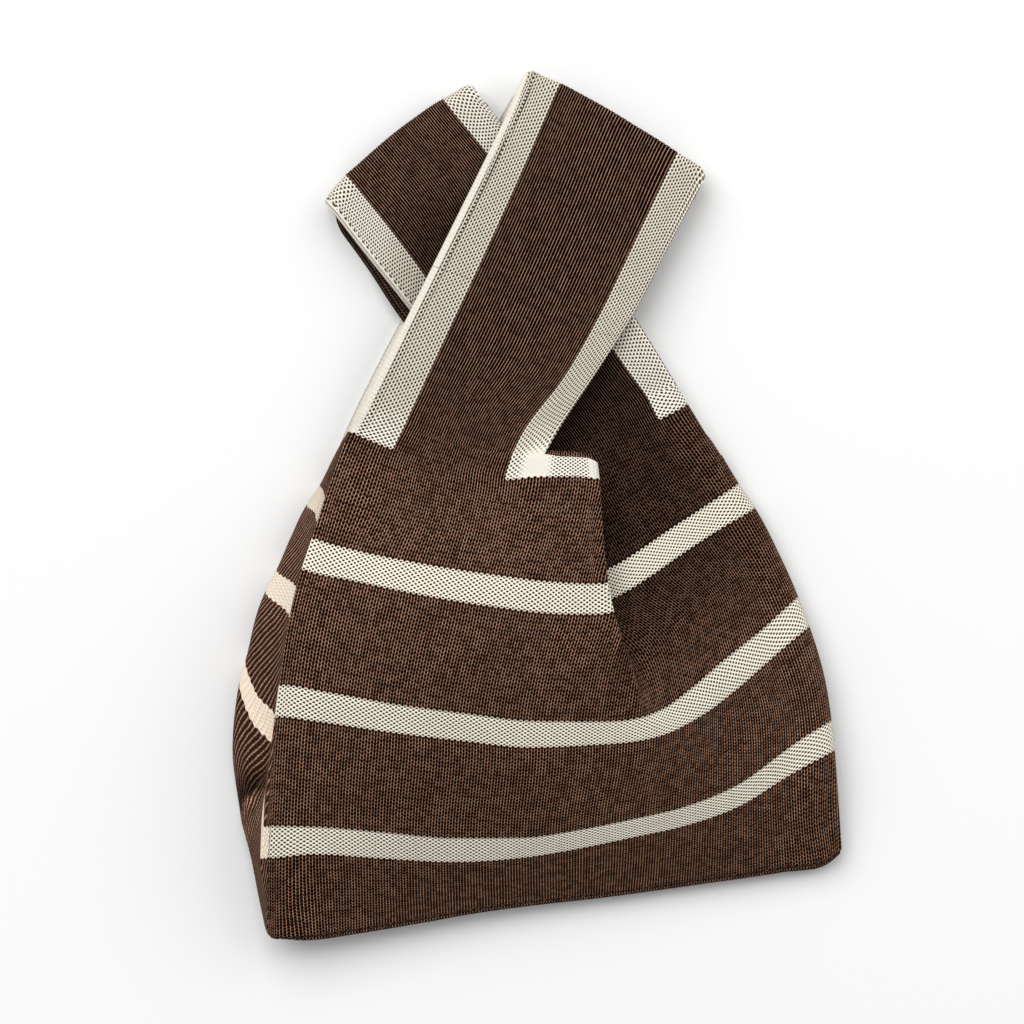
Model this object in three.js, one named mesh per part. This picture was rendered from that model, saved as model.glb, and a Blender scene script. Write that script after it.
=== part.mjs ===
// Knitted knot bag, laid on its back with the right handle drawn through the
// loop of the left handle. Millimetres, +Z up, the bag lies on z = 0, +Y runs
// from the base of the bag to the tips of the handles.
import * as THREE from 'three';

// ---------------------------------------------------------------- dimensions
const GRID = 0.425;            // one step of the plan grid on the table
const VIEW_HEIGHT = 2000;      // plan outlines are drawn as seen from this height
const PLAN_X0 = 536.24;        // plan point that lies over the origin
const PLAN_Y0 = 507.33;
const PLAN_CX = 512.0;         // plan point straight below the viewpoint
const PLAN_CY = 512.0;

const PLY = 1.7;               // one knitted ply of a handle
const PLY_GAP = 0.3;           // clearance between the two plies
const PLY_OFF = (PLY + PLY_GAP) / 2;
const BODY_CLOTH = 2.4;        // front of the body, cloth with its relief
const SIDE_CLOTH = 2.0;        // side gusset and base
const GUSSET_CLOTH = 1.4;      // folded right gusset
const BACK_CLOTH = 3.0;        // back of the body
const HEM_PLY = 1.4;           // plies of the neck hems
const WELT_R = 1.6;            // rolled welt on the long edges of a handle
const WELT_IN = 1.9;           // its centre line, in from the edge of the handle
const PLY_IN = 4.2;            // edge of the plies, in from the edge of the handle
const SEAM_R = 0.9;            // linked seams of the body
const BIGHT_CLEAR = 1.0;       // clearance where the flat halves meet the bight
const HINGE_GAP = 0.5;         // clearance each side of a fold line

const BROWN = 0x4a3127;
const BROWN_DARK = 0x3b261e;
const CREAM = 0xd9ccb4;

// -------------------------------------------------------------- plan outlines
// left fold of the front, from the shoulder to the bottom corner: x, y, height
const LEFT_FOLD = [[430, 352, 13], [493, 326, 20], [539, 312, 29], [571, 301, 35],
  [621, 288, 40], [699, 277, 44], [788, 269, 41], [858, 267, 34], [938, 268, 20]];
// outermost line of the left gusset: y, x
const LEFT_SIDE = [[430, 350], [487, 319], [508, 306], [571, 276], [594, 266], [661, 244],
  [680, 240], [735, 232], [769, 236], [814, 241], [858, 250], [915, 260], [938, 267]];
// right edge of the front: y, x, height
const RIGHT_EDGE = [[430, 697, 9], [486, 737, 11], [510, 753, 12], [599, 796, 16],
  [650, 815, 18], [722, 828, 20], [751, 832, 20], [823, 841, 16], [858, 840, 10]];
// bottom edge of the front, left to right
const BOTTOM_LEFT = [268, 939];
const BOTTOM_RIGHT = [840, 857];
// bottom edge of the back
const BACK_LEFT = [252, 812];
const BACK_RIGHT = [818, 733];
const SHOULDER = 430;          // fold line of the handles
const NECK = 487;              // top of the front panel, below the neck hem

// ------------------------------------------------------------------- helpers
function P(px, py, z) {
  const s = GRID * (VIEW_HEIGHT - z) / VIEW_HEIGHT;
  return new THREE.Vector3(
    (px - PLAN_CX) * s + (PLAN_CX - PLAN_X0) * GRID,
    (PLAN_CY - py) * s - (PLAN_CY - PLAN_Y0) * GRID,
    z,
  );
}

function table(rows, key, column) {
  if (key <= rows[0][0]) return rows[0][column];
  for (let i = 1; i < rows.length; i++) {
    if (key <= rows[i][0]) {
      const f = (key - rows[i - 1][0]) / (rows[i][0] - rows[i - 1][0]);
      return rows[i - 1][column] * (1 - f) + rows[i][column] * f;
    }
  }
  return rows[rows.length - 1][column];
}

const lerp = (a, b, f) => a + (b - a) * f;
const smooth = (f) => { const c = Math.min(1, Math.max(0, f)); return c * c * (3 - 2 * c); };

function closedMesh(vertices, triangles) {
  let volume = 0;
  for (const [a, b, c] of triangles) {
    volume += vertices[a].dot(new THREE.Vector3().crossVectors(vertices[b], vertices[c]));
  }
  const flip = volume < 0;
  const index = [];
  for (const [a, b, c] of triangles) index.push(...(flip ? [a, c, b] : [a, b, c]));
  const geometry = new THREE.BufferGeometry();
  const position = [];
  for (const v of vertices) position.push(v.x, v.y, v.z);
  geometry.setAttribute('position', new THREE.Float32BufferAttribute(position, 3));
  geometry.setIndex(index);
  geometry.computeVertexNormals();
  return geometry;
}

// a cloth of even thickness on both sides of a grid of points; it is thickened
// along its own normal, or straight up and down when upright is set
function cloth(grid, thickness, upright = false) {
  const rows = grid.length;
  const cols = grid[0].length;
  const half = thickness / 2;
  const vertices = [];
  const up = [];
  for (let i = 0; i < rows; i++) {
    for (let j = 0; j < cols; j++) {
      let n = new THREE.Vector3(0, 0, 1);
      if (!upright) {
        const du = new THREE.Vector3().subVectors(grid[i][Math.min(cols - 1, j + 1)], grid[i][Math.max(0, j - 1)]);
        const dv = new THREE.Vector3().subVectors(grid[Math.min(rows - 1, i + 1)][j], grid[Math.max(0, i - 1)][j]);
        n = new THREE.Vector3().crossVectors(du, dv).normalize();
      }
      up.push(n);
    }
  }
  for (const side of [1, -1]) {
    for (let i = 0; i < rows; i++) {
      for (let j = 0; j < cols; j++) {
        vertices.push(grid[i][j].clone().addScaledVector(up[i * cols + j], side * half));
      }
    }
  }
  const N = rows * cols;
  const id = (i, j) => i * cols + j;
  const triangles = [];
  for (let i = 0; i + 1 < rows; i++) {
    for (let j = 0; j + 1 < cols; j++) {
      const a = id(i, j), b = id(i, j + 1), c = id(i + 1, j + 1), d = id(i + 1, j);
      triangles.push([a, b, c], [a, c, d], [N + a, N + c, N + b], [N + a, N + d, N + c]);
    }
  }
  const rim = [];
  for (let j = 0; j + 1 < cols; j++) rim.push([id(0, j), id(0, j + 1)]);
  for (let i = 0; i + 1 < rows; i++) rim.push([id(i, cols - 1), id(i + 1, cols - 1)]);
  for (let j = cols - 1; j > 0; j--) rim.push([id(rows - 1, j), id(rows - 1, j - 1)]);
  for (let i = rows - 1; i > 0; i--) rim.push([id(i, 0), id(i - 1, 0)]);
  for (const [a, b] of rim) triangles.push([b, a, N + a], [b, N + a, N + b]);
  return closedMesh(vertices, triangles);
}

// a round cord along a line of points
function cord(points, radius, sides = 6) {
  const vertices = [];
  const triangles = [];
  const n = points.length;
  let across = null;
  for (let i = 0; i < n; i++) {
    const t = new THREE.Vector3().subVectors(points[Math.min(n - 1, i + 1)], points[Math.max(0, i - 1)]).normalize();
    if (!across) across = new THREE.Vector3().crossVectors(t, Math.abs(t.z) < 0.9 ? new THREE.Vector3(0, 0, 1) : new THREE.Vector3(0, 1, 0));
    across.addScaledVector(t, -across.dot(t)).normalize();
    const other = new THREE.Vector3().crossVectors(t, across);
    for (let k = 0; k < sides; k++) {
      const a = 2 * Math.PI * (k + 0.5) / sides;
      vertices.push(points[i].clone().addScaledVector(across, radius * Math.cos(a)).addScaledVector(other, radius * Math.sin(a)));
    }
  }
  for (let i = 0; i + 1 < n; i++) {
    for (let k = 0; k < sides; k++) {
      const l = (k + 1) % sides;
      triangles.push([i * sides + k, i * sides + l, (i + 1) * sides + l], [i * sides + k, (i + 1) * sides + l, (i + 1) * sides + k]);
    }
  }
  const last = (n - 1) * sides;
  for (let k = 1; k + 1 < sides; k++) triangles.push([0, k + 1, k], [last, last + k, last + k + 1]);
  return closedMesh(vertices, triangles);
}

const bag = new THREE.Group();
bag.name = 'knot_bag';

function add(name, geometry, color, roughness = 0.95) {
  const mesh = new THREE.Mesh(geometry, new THREE.MeshStandardMaterial({ color, roughness, metalness: 0 }));
  mesh.name = name;
  bag.add(mesh);
  return mesh;
}

// grid of points between two lines of plan points [x, y, z]
function ruled(first, second, cols, bulge = 0) {
  const rows = [];
  for (let i = 0; i < first.length; i++) {
    const row = [];
    for (let j = 0; j <= cols; j++) {
      const f = j / cols;
      const a = first[i], b = second[i];
      row.push(P(lerp(a[0], b[0], f), lerp(a[1], b[1], f), lerp(a[2], b[2], f) + bulge * Math.sin(Math.PI * f)));
    }
    rows.push(row);
  }
  return rows;
}

// --------------------------------------------------------------- front panel
function frontPoint(u, v) {
  const yl = lerp(NECK, BOTTOM_LEFT[1] - 1, v);
  const yr = lerp(NECK, BOTTOM_RIGHT[1] - 1, v);
  const xl = table(LEFT_FOLD, yl, 1) + 1;
  const zl = table(LEFT_FOLD, yl, 2);
  const xr = table(RIGHT_EDGE, yr, 1) - 1;
  const zr = table(RIGHT_EDGE, yr, 2);
  const crown = table([[0, 20], [0.12, 27], [0.25, 33], [0.4, 30], [0.55, 24], [0.7, 17], [0.8, 11], [0.9, 4], [1, -4]], v, 1);
  const ridge = 0.655 + 0.02 * v;
  // the deep pleat right of the ridge runs out half way down
  const pleat = 15.6 * Math.max(0, 1 - v / 0.5) * smooth((u - ridge) / 0.05) * Math.min(1, (1 - u) / 0.28);
  return P(lerp(xl, xr, u), lerp(yl, yr, u), lerp(zl, zr, u) + crown * Math.sin(Math.PI * u) - pleat);
}
{
  const columns = [0, 0.04, 0.1, 0.2, 0.3, 0.4, 0.5, 0.58, 0.64, 0.665, 0.69, 0.72, 0.78, 0.85, 0.92, 1];
  const grid = [];
  for (let i = 0; i <= 12; i++) grid.push(columns.map((u) => frontPoint(u, i / 12)));
  add('front_panel', cloth(grid, BODY_CLOTH, true), BROWN);
}

// front shoulders, between the fold line of the handles and the neck
add('left_front_shoulder', cloth(ruled(
  [[354, 431.5, 14.5], [340, 459, 17], [328.5, 485, 19.5]],
  [[556, 431.5, 26], [534, 453, 29.5], [506, 480, 33.5]], 5), BODY_CLOTH, true), BROWN);
add('right_front_shoulder', cloth(ruled(
  [[497, 431.5, 11.4], [552, 459, 12.5], [604, 485, 14]],
  [[696, 431.5, 10.4], [716, 459, 10.8], [735, 485, 11]], 4), BODY_CLOTH, true), BROWN);

// neck hem of the front: the cream turned edge and the facing behind it
add('front_neck_hem', cloth(ruled(
  [[518, 477, 34.4], [549, 454.5, 32.4], [572, 454.5, 32.2], [597, 457, 31]],
  [[512, 484.5, 35.2], [545, 484.5, 35], [572, 484.5, 34.6], [601, 484.5, 33]], 2), HEM_PLY, true), CREAM);
add('front_neck_facing', cloth(ruled(
  [[519, 476, 32.4], [549, 452.5, 30.4], [572, 452.5, 30.2], [595, 455, 29]],
  [[512, 483.5, 33.2], [545, 483.5, 33], [572, 483.5, 32.6], [598, 483.5, 31]], 2), HEM_PLY, true), BROWN_DARK);

// ---------------------------------------------------------------- back panel
{
  const outline = [[BACK_LEFT[0], BACK_LEFT[1]], [BACK_RIGHT[0], BACK_RIGHT[1]]];
  for (const y of [650, 599, 540, 488]) outline.push([table(RIGHT_EDGE, y, 1) - 6, y]);
  for (const y of [488, 540, 594, 661, 735]) outline.push([table(LEFT_SIDE, y, 1) + 8, y]);
  const shape = new THREE.Shape(outline.map(([x, y]) => { const p = P(x, y, 0); return new THREE.Vector2(p.x, p.y); }));
  add('back_panel', new THREE.ExtrudeGeometry(shape, { depth: BACK_CLOTH, bevelEnabled: false }), BROWN);
}
add('left_back_shoulder', cloth(ruled(
  [[356, 431.5, 1.5], [336, 470, 1.5], [330, 486, 1.5]],
  [[556, 431.5, 1.5], [516, 470, 1.5], [504, 486, 1.5]], 2), BACK_CLOTH, true), BROWN);
add('right_back_shoulder', cloth(ruled(
  [[497, 431.5, 5.4], [552, 459, 5.2], [606, 500, 5.0]],
  [[694, 431.5, 5.4], [712, 459, 5.2], [738, 500, 5.0]], 3), BODY_CLOTH, true), BROWN);
add('back_neck_hem', cloth(ruled(
  [[518, 477, 0.8], [549, 454.5, 0.8], [597, 457, 0.8]],
  [[511, 486, 0.8], [545, 486, 0.8], [601, 486, 0.8]], 1), HEM_PLY, true), CREAM);
add('back_neck_facing', cloth(ruled(
  [[519, 475, 2.5], [549, 452.5, 2.5], [595, 455, 2.5]],
  [[511, 485, 2.5], [545, 485, 2.5], [598, 485, 2.5]], 1), HEM_PLY, true), BROWN_DARK);

// ------------------------------------------------------------- side gussets
{
  // left gusset, open: from the fold of the front out and down to the back
  const grid = [];
  const steps = 14;
  for (let i = 0; i <= steps; i++) {
    const t = i / steps;
    const yf = lerp(437, 934, t), ym = lerp(437, 916, t);
    const yb = t < 0.78 ? lerp(437, 804, t / 0.78) : lerp(804, 912, (t - 0.78) / 0.22);
    const zf = table(LEFT_FOLD, yf, 2) - 2.6;
    const front = [table(LEFT_FOLD, yf, 1) - 1, yf, zf];
    const xm = table(LEFT_SIDE, ym, 1) + 2.5;
    const zb = 5.2 + 2.0 * Math.max(0, t - 0.78) / 0.22;
    const zm = lerp(zf, zb, 0.55);
    const back = [table(LEFT_SIDE, yb, 1) + 8 - 4 * Math.max(0, t - 0.78) / 0.22, yb, zb];
    grid.push([
      P(...front),
      P(lerp(front[0], xm, 0.62), lerp(yf, ym, 0.5), lerp(zf, zm, 0.45)),
      P(xm, ym, zm),
      P(lerp(xm, back[0], 0.35), lerp(ym, yb, 0.55), lerp(zm, back[2], 0.6)),
      P(...back),
    ]);
  }
  add('left_side_gusset', cloth(grid, SIDE_CLOTH), BROWN);
}
{
  // right gusset, folded inwards between the front and the back
  const grid = [];
  const steps = 10;
  for (let i = 0; i <= steps; i++) {
    const t = i / steps;
    const yf = lerp(512, 841, t), ym = lerp(512, 770, t), yb = lerp(512, 724, t);
    const xf = table(RIGHT_EDGE, yf, 1), xb = table(RIGHT_EDGE, yb, 1) - 7;
    const zf = table(RIGHT_EDGE, yf, 2) - 2.5;
    const zm = (zf + 4.9) / 2;
    const depth = 26 + 16 * t;
    grid.push([
      P(xf - 2, yf, zf), P(xf - 0.5 * depth, lerp(yf, ym, 0.7), lerp(zf, zm + 1.5, 0.6)), P(xf - 0.92 * depth, ym, zm + 1.2),
      P(xf - depth - 1, ym, zm),
      P(xf - 0.92 * depth, ym, zm - 1.2), P(xf - 0.5 * depth, lerp(ym, yb, 0.5), lerp(4.9, zm - 1.5, 0.6)), P(xb, yb, 4.9),
    ]);
  }
  add('right_side_gusset', cloth(grid, GUSSET_CLOTH), BROWN);
}

// ---------------------------------------------------------------------- base
{
  const grid = [];
  const steps = 14;
  for (let i = 0; i <= steps; i++) {
    const t = i / steps;
    const top = frontPoint(t, 1);
    const xf = lerp(BOTTOM_LEFT[0] + 8, BOTTOM_RIGHT[0] - 6, t);
    const yf = lerp(BOTTOM_LEFT[1], BOTTOM_RIGHT[1], t) - 7;
    const xb = lerp(BACK_LEFT[0] + 11, BACK_RIGHT[0] - 3, t);
    const yb = lerp(BACK_LEFT[1], BACK_RIGHT[1], t) + 6.5;
    const zf = top.z - 3.6;
    const row = [];
    for (const f of [0, 0.3, 0.65, 1]) row.push(P(lerp(xf, xb, f), lerp(yf, yb, f), lerp(zf, 1.3, f ** 0.8)));
    grid.push(row);
  }
  add('base_panel', cloth(grid, SIDE_CLOTH), BROWN);
}

// ------------------------------------------------------------ linked seams
{
  const line = [];
  for (let i = 0; i <= 14; i++) {
    const t = i / 14;
    const top = frontPoint(t, 1);
    line.push(P(lerp(BOTTOM_LEFT[0] + 2, BOTTOM_RIGHT[0] - 2, t), lerp(BOTTOM_LEFT[1], BOTTOM_RIGHT[1], t) - 0.5, top.z - 1.2 - 0.4 - SEAM_R));
  }
  add('front_base_seam', cord(line, SEAM_R), BROWN_DARK);
}
{
  const line = [];
  for (let i = 0; i <= 8; i++) {
    const t = i / 8;
    line.push(P(lerp(BACK_LEFT[0] + 2, BACK_RIGHT[0] - 2, t), lerp(BACK_LEFT[1], BACK_RIGHT[1], t) + 3.0, 1.6));
  }
  add('back_base_seam', cord(line, SEAM_R), BROWN_DARK);
}
{
  const line = [];
  for (const y of [492, 540, 594, 661, 735, 806]) line.push(P(table(LEFT_SIDE, y, 1) + 4.2, y, 1.6));
  add('left_side_seam', cord(line, SEAM_R), BROWN_DARK);
}
{
  const line = [];
  for (const y of [512, 540, 599, 650, 724]) line.push(P(y === 724 ? 821.5 : table(RIGHT_EDGE, y, 1) - 2.2, y, 1.6));
  add('right_side_seam', cord(line, SEAM_R), BROWN_DARK);
}

// ------------------------------------------------------------------- handles
// Each handle is a flat loop of two plies. A row of stations runs from the
// shoulder to the fold line of its free end, and on to the bight.
// station: [outer or upper edge x, y], [other edge x, y], front heights, back heights
const LEFT_STATIONS = [
  { a: [351.5, 429.2], b: [560, 429.2], front: [14.5, 26], back: [1.95, 1.95] },
  { a: [389.4, 353], b: [579, 400], front: [18, 24], back: [1.95, 1.95] },
  { a: [427, 276.7], b: [598, 370], front: [19, 22], back: [1.95, 1.95] },
  { a: [465, 200.5], b: [617, 340], front: [19, 20], back: [1.95, 1.95] },
  { a: [502.4, 125], b: [636, 311], front: [18, 18], back: [1.95, 1.95] },
];
const LEFT_TIP = [
  { a: [503.9, 122.2], b: [638.2, 308.2], front: [18, 18], back: [2.0, 2.0] },
  { a: [516, 98], b: [672, 243], front: [16.4, 16.4], back: [4.6, 4.6] },
  { a: [529, 73], b: [705, 179], front: [14, 14], back: [7, 7] },
];
const RIGHT_STATIONS = [
  { a: [494, 429.2], b: [697, 429.2], front: [11.4, 10.4], back: [6.1, 6.1] },
  { a: [470.5, 397], b: [645, 335], front: [11.5, 11.5], back: [6.2, 6.2] },
  { a: [447, 364], b: [594, 259], front: [11.6, 11.6], back: [6.2, 6.2] },
  { a: [423, 331], b: [542, 185], front: [11.8, 11.8], back: [6.2, 6.2] },
  { a: [402.1, 300.1], b: [498.1, 121.6], front: [12, 12], back: [6, 6] },
];
const RIGHT_TIP = [
  { a: [399.9, 298.9], b: [495.9, 120.4], front: [12, 12], back: [5.9, 5.9] },
  { a: [372, 262], b: [488, 109], front: [12.8, 12.8], back: [2.5, 2.5] },
  { a: [326, 203], b: [473, 88], front: [12.5, 12.5], back: [2.1, 2.1] },
];

function edgePoint(s, f, which) {
  return P(lerp(s.a[0], s.b[0], f), lerp(s.a[1], s.b[1], f), lerp(s[which][0], s[which][1], f));
}
function rowLength(s) {
  return Math.hypot(s.b[0] - s.a[0], s.b[1] - s.a[1]) * GRID;
}
function plyGrid(stations, which, shift, cols = 4) {
  return stations.map((s) => {
    const inset = PLY_IN / rowLength(s);
    const row = [];
    for (let j = 0; j <= cols; j++) {
      const p = edgePoint(s, lerp(inset, 1 - inset, j / cols), which);
      p.z += shift;
      row.push(p);
    }
    return row;
  });
}
// shorten the last bay of a tip so that the bight fits behind it
function cutForBight(stations) {
  const last = stations[stations.length - 1];
  const before = stations[stations.length - 2];
  const r = (last.front[0] - last.back[0]) / 2;
  const back = r + PLY_OFF + PLY / 2 + BIGHT_CLEAR;
  const cut = (a, b) => {
    const d = Math.hypot(a[0] - b[0], a[1] - b[1]) * GRID;
    const f = Math.min(0.8, back / d);
    return [lerp(a[0], b[0], f), lerp(a[1], b[1], f), f];
  };
  const a = cut(last.a, before.a);
  const b = cut(last.b, before.b);
  return { a: [a[0], a[1]], b: [b[0], b[1]], front: last.front, back: last.back, r, reach: back };
}

function handle(side, stations, tip) {
  const parts = { body: [], tip: [] };
  for (const which of ['front', 'back']) {
    const out = which === 'front' ? PLY_OFF : -PLY_OFF;
    add(`${side}_handle_${which}_ply`, cloth(plyGrid(stations, which, out), PLY, true), BROWN);
    add(`${side}_handle_${which}_facing`, cloth(plyGrid(stations, which, -out), PLY, true), BROWN_DARK);
    for (const [edge, f0] of [['a', 0], ['b', 1]]) {
      const line = stations.map((s) => edgePoint(s, f0 === 0 ? WELT_IN / rowLength(s) : 1 - WELT_IN / rowLength(s), which));
      const label = edge === 'a' ? 'outer' : 'inner';
      add(`${side}_handle_${which}_${side === 'left' ? label : (edge === 'a' ? 'inner' : 'outer')}_welt`, cord(line, WELT_R), CREAM);
    }
  }
  // free end
  const end = cutForBight(tip);
  const flat = [tip[0], tip[1], end];
  for (const which of ['front', 'back']) {
    const out = which === 'front' ? PLY_OFF : -PLY_OFF;
    add(`${side}_tip_${which}_ply`, cloth(plyGrid(flat, which, out), PLY, true), BROWN);
    add(`${side}_tip_${which}_facing`, cloth(plyGrid(flat, which, -out), PLY, true), BROWN_DARK);
  }
  // bight: the front half turns over into the back half
  const zc = (end.front[0] + end.back[0]) / 2;
  const e0 = edgePoint({ ...end, mid: [zc, zc] }, 0, 'mid');
  const e1 = edgePoint({ ...end, mid: [zc, zc] }, 1, 'mid');
  const t0 = edgePoint({ ...tip[2], mid: [zc, zc] }, 0, 'mid');
  const t1 = edgePoint({ ...tip[2], mid: [zc, zc] }, 1, 'mid');
  const along = new THREE.Vector3().subVectors(e1, e0).normalize();
  let forward = new THREE.Vector3(-along.y, along.x, 0);
  if (forward.dot(new THREE.Vector3().subVectors(t0, e0)) < 0) forward.negate();
  const centre = (f) => {
    const tipPoint = t0.clone().lerp(t1, f);
    return tipPoint.addScaledVector(forward, -(end.r + PLY_OFF + PLY / 2));
  };
  const rowLen = t0.distanceTo(t1);
  const bight = (radius) => {
    const grid = [];
    for (let j = 0; j <= 4; j++) {
      const c = centre(lerp(PLY_IN / rowLen, 1 - PLY_IN / rowLen, j / 4));
      const row = [];
      for (let k = 0; k <= 6; k++) {
        const a = Math.PI * (k / 6 - 0.5);
        row.push(c.clone().addScaledVector(forward, radius * Math.cos(a)).add(new THREE.Vector3(0, 0, radius * Math.sin(a))));
      }
      grid.push(row);
    }
    return grid;
  };
  add(`${side}_tip_bight_ply`, cloth(bight(end.r + PLY_OFF), PLY), BROWN);
  add(`${side}_tip_bight_facing`, cloth(bight(end.r - PLY_OFF), PLY), BROWN_DARK);
  for (const [edge, f0] of [['a', 0], ['b', 1]]) {
    const line = [];
    const at = (s, which) => edgePoint(s, f0 === 0 ? WELT_IN / rowLength(s) : 1 - WELT_IN / rowLength(s), which);
    line.push(at(flat[0], 'front'), at(flat[1], 'front'));
    const c = centre(f0 === 0 ? WELT_IN / rowLen : 1 - WELT_IN / rowLen);
    for (let k = 6; k >= 0; k--) {
      const a = Math.PI * (k / 6 - 0.5);
      line.push(c.clone().addScaledVector(forward, end.r * Math.cos(a)).add(new THREE.Vector3(0, 0, end.r * Math.sin(a))));
    }
    line.push(at(flat[1], 'back'), at(flat[0], 'back'));
    const label = side === 'left' ? (edge === 'a' ? 'outer' : 'inner') : (edge === 'a' ? 'inner' : 'outer');
    add(`${side}_tip_${label}_welt`, cord(line, WELT_R), CREAM);
  }
  return parts;
}

handle('left', LEFT_STATIONS, LEFT_TIP);
handle('right', RIGHT_STATIONS, RIGHT_TIP);

export default bag;
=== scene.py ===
import math

import bpy
import numpy as np
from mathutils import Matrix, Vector


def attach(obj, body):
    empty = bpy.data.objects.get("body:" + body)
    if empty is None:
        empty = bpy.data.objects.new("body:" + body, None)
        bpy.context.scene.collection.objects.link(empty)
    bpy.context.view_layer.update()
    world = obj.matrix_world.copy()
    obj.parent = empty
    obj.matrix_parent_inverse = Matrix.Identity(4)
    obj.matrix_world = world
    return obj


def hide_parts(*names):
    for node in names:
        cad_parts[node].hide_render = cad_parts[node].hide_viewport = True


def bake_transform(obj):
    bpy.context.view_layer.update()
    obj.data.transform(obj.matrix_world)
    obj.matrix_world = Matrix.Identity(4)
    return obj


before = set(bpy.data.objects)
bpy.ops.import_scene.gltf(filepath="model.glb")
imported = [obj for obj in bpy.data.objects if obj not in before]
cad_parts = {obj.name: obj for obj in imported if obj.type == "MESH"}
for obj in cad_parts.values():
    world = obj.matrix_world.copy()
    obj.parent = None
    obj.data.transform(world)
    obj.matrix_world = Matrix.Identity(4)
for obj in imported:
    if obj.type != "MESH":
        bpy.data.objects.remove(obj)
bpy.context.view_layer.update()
scene = bpy.context.scene
scene.view_settings.view_transform = "Standard"

# ------------------------------------------------------------------ dimensions
# Plan points are drawn as seen from VIEW_HEIGHT above the table, heights are in
# millimetres. They are the same numbers as in the part's own source.
GRID = 0.425
VIEW_HEIGHT = 2000.0
PLAN_X0, PLAN_Y0 = 536.24, 507.33
PLAN_C = 512.0
MM = 0.001

LEFT_FOLD = [[430, 352, 13], [493, 326, 20], [539, 312, 29], [571, 301, 35], [621, 288, 40], [699, 277, 44], [788, 269, 41], [858, 267, 34], [938, 268, 20]]
RIGHT_EDGE = [[430, 697, 9], [486, 737, 11], [510, 753, 12], [599, 796, 16], [650, 815, 18], [722, 828, 20], [751, 832, 20], [823, 841, 16], [858, 840, 10]]
CROWN = [[0, 20], [0.12, 27], [0.25, 33], [0.4, 30], [0.55, 24], [0.7, 17], [0.8, 11], [0.9, 4], [1, -4]]

WALES = 104          # stitches across the front
STRAP = 36           # stitches across a handle
NECK_V = 126         # course of the lower end of the cream edges
HEM_V = 132          # course of the free edge of the neck
STRIPES = [(24, 31), (59, 66), (94, 101)]
RELIEF = 0.34        # mm, height of a stitch leg


def plan(p):
    """plan points [..., (x, y, height in mm)] to metres"""
    p = np.asarray(p, float)
    z = p[..., 2]
    s = GRID * (VIEW_HEIGHT - z) / VIEW_HEIGHT
    x = (p[..., 0] - PLAN_C) * s + (PLAN_C - PLAN_X0) * GRID
    y = (PLAN_C - p[..., 1]) * s - (PLAN_C - PLAN_Y0) * GRID
    return np.stack([x, y, z], -1) * MM


def column(table, key, c):
    t = np.array(table, float)
    return np.interp(key, t[:, 0], t[:, c])


def slopes(x, y):
    x = np.asarray(x, float)
    h = np.diff(x).reshape((-1,) + (1,) * (y.ndim - 1))
    d = np.diff(y, axis=0) / h
    m = np.empty_like(y)
    m[0], m[-1] = d[0], d[-1]
    if len(x) > 2:
        mid = (h[1:] * d[:-1] + h[:-1] * d[1:]) / (h[1:] + h[:-1])
        same = d[:-1] * d[1:] > 0
        limit = 3 * np.minimum(np.abs(d[:-1]), np.abs(d[1:]))
        m[1:-1] = np.where(same, np.sign(mid) * np.minimum(np.abs(mid), limit), 0.0)
    return m


def hermite(x, y, q):
    """smooth curve through y (K, D) at x (K,), read at q (M,)"""
    x = np.asarray(x, float)
    y = np.asarray(y, float)
    m = slopes(x, y)
    i = np.clip(np.searchsorted(x, q, side="right") - 1, 0, len(x) - 2)
    h = x[i + 1] - x[i]
    t = np.clip((q - x[i]) / h, 0, 1)
    t2, t3 = t * t, t * t * t
    a, b, c, d = 2 * t3 - 3 * t2 + 1, t3 - 2 * t2 + t, -2 * t3 + 3 * t2, t3 - t2
    if y.ndim > 1:
        a, b, c, d, h = (k[:, None] for k in (a, b, c, d, h))
    return a * y[i] + b * h * m[i] + c * y[i + 1] + d * h * m[i + 1]


def hermite_rows(vk, rows, v):
    """rows (K, M, D) at vk (K,), each of M points read at its own v (M,)"""
    vk = np.asarray(vk, float)
    m = slopes(vk, rows)
    i = np.clip(np.searchsorted(vk, v, side="right") - 1, 0, len(vk) - 2)
    j = np.arange(len(v))
    h = (vk[i + 1] - vk[i])
    t = np.clip((v - vk[i]) / h, 0, 1)
    t2, t3 = t * t, t * t * t
    a, b, c, d = 2 * t3 - 3 * t2 + 1, t3 - 2 * t2 + t, -2 * t3 + 3 * t2, t3 - t2
    a, b, c, d, h = (k[:, None] for k in (a, b, c, d, h))
    return a * rows[i, j] + b * h * m[i, j] + c * rows[i + 1, j] + d * h * m[i + 1, j]


def smooth(f):
    c = np.clip(f, 0, 1)
    return c * c * (3 - 2 * c)


def front_height(x, y):
    """height of the middle of the front cloth over a plan point"""
    v = np.clip((y - 487.0) / 440.0, 0, 1)
    for _ in range(8):
        yl = 487 + (938 - 487) * v
        yr = 487 + (856 - 487) * v
        xl = column(LEFT_FOLD, yl, 1) + 1
        xr = column(RIGHT_EDGE, yr, 1) - 1
        u = np.clip((x - xl) / (xr - xl), 0, 1)
        v = np.clip((y - 487.0) / (451 * (1 - u) + 369 * u), 0, 1)
    yl = 487 + (938 - 487) * v
    yr = 487 + (856 - 487) * v
    zl = column(LEFT_FOLD, yl, 2)
    zr = column(RIGHT_EDGE, yr, 2)
    crown = column(CROWN, v, 1)
    return zl + (zr - zl) * u + crown * np.sin(np.pi * u)


# ------------------------------------------------------------- body of the bag
# Each row is one course of the knit: (wale, x, y, height). Heights written as
# ("h", n) are n above the front's own height there.
H = lambda n=0.0: ("h", n)

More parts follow.
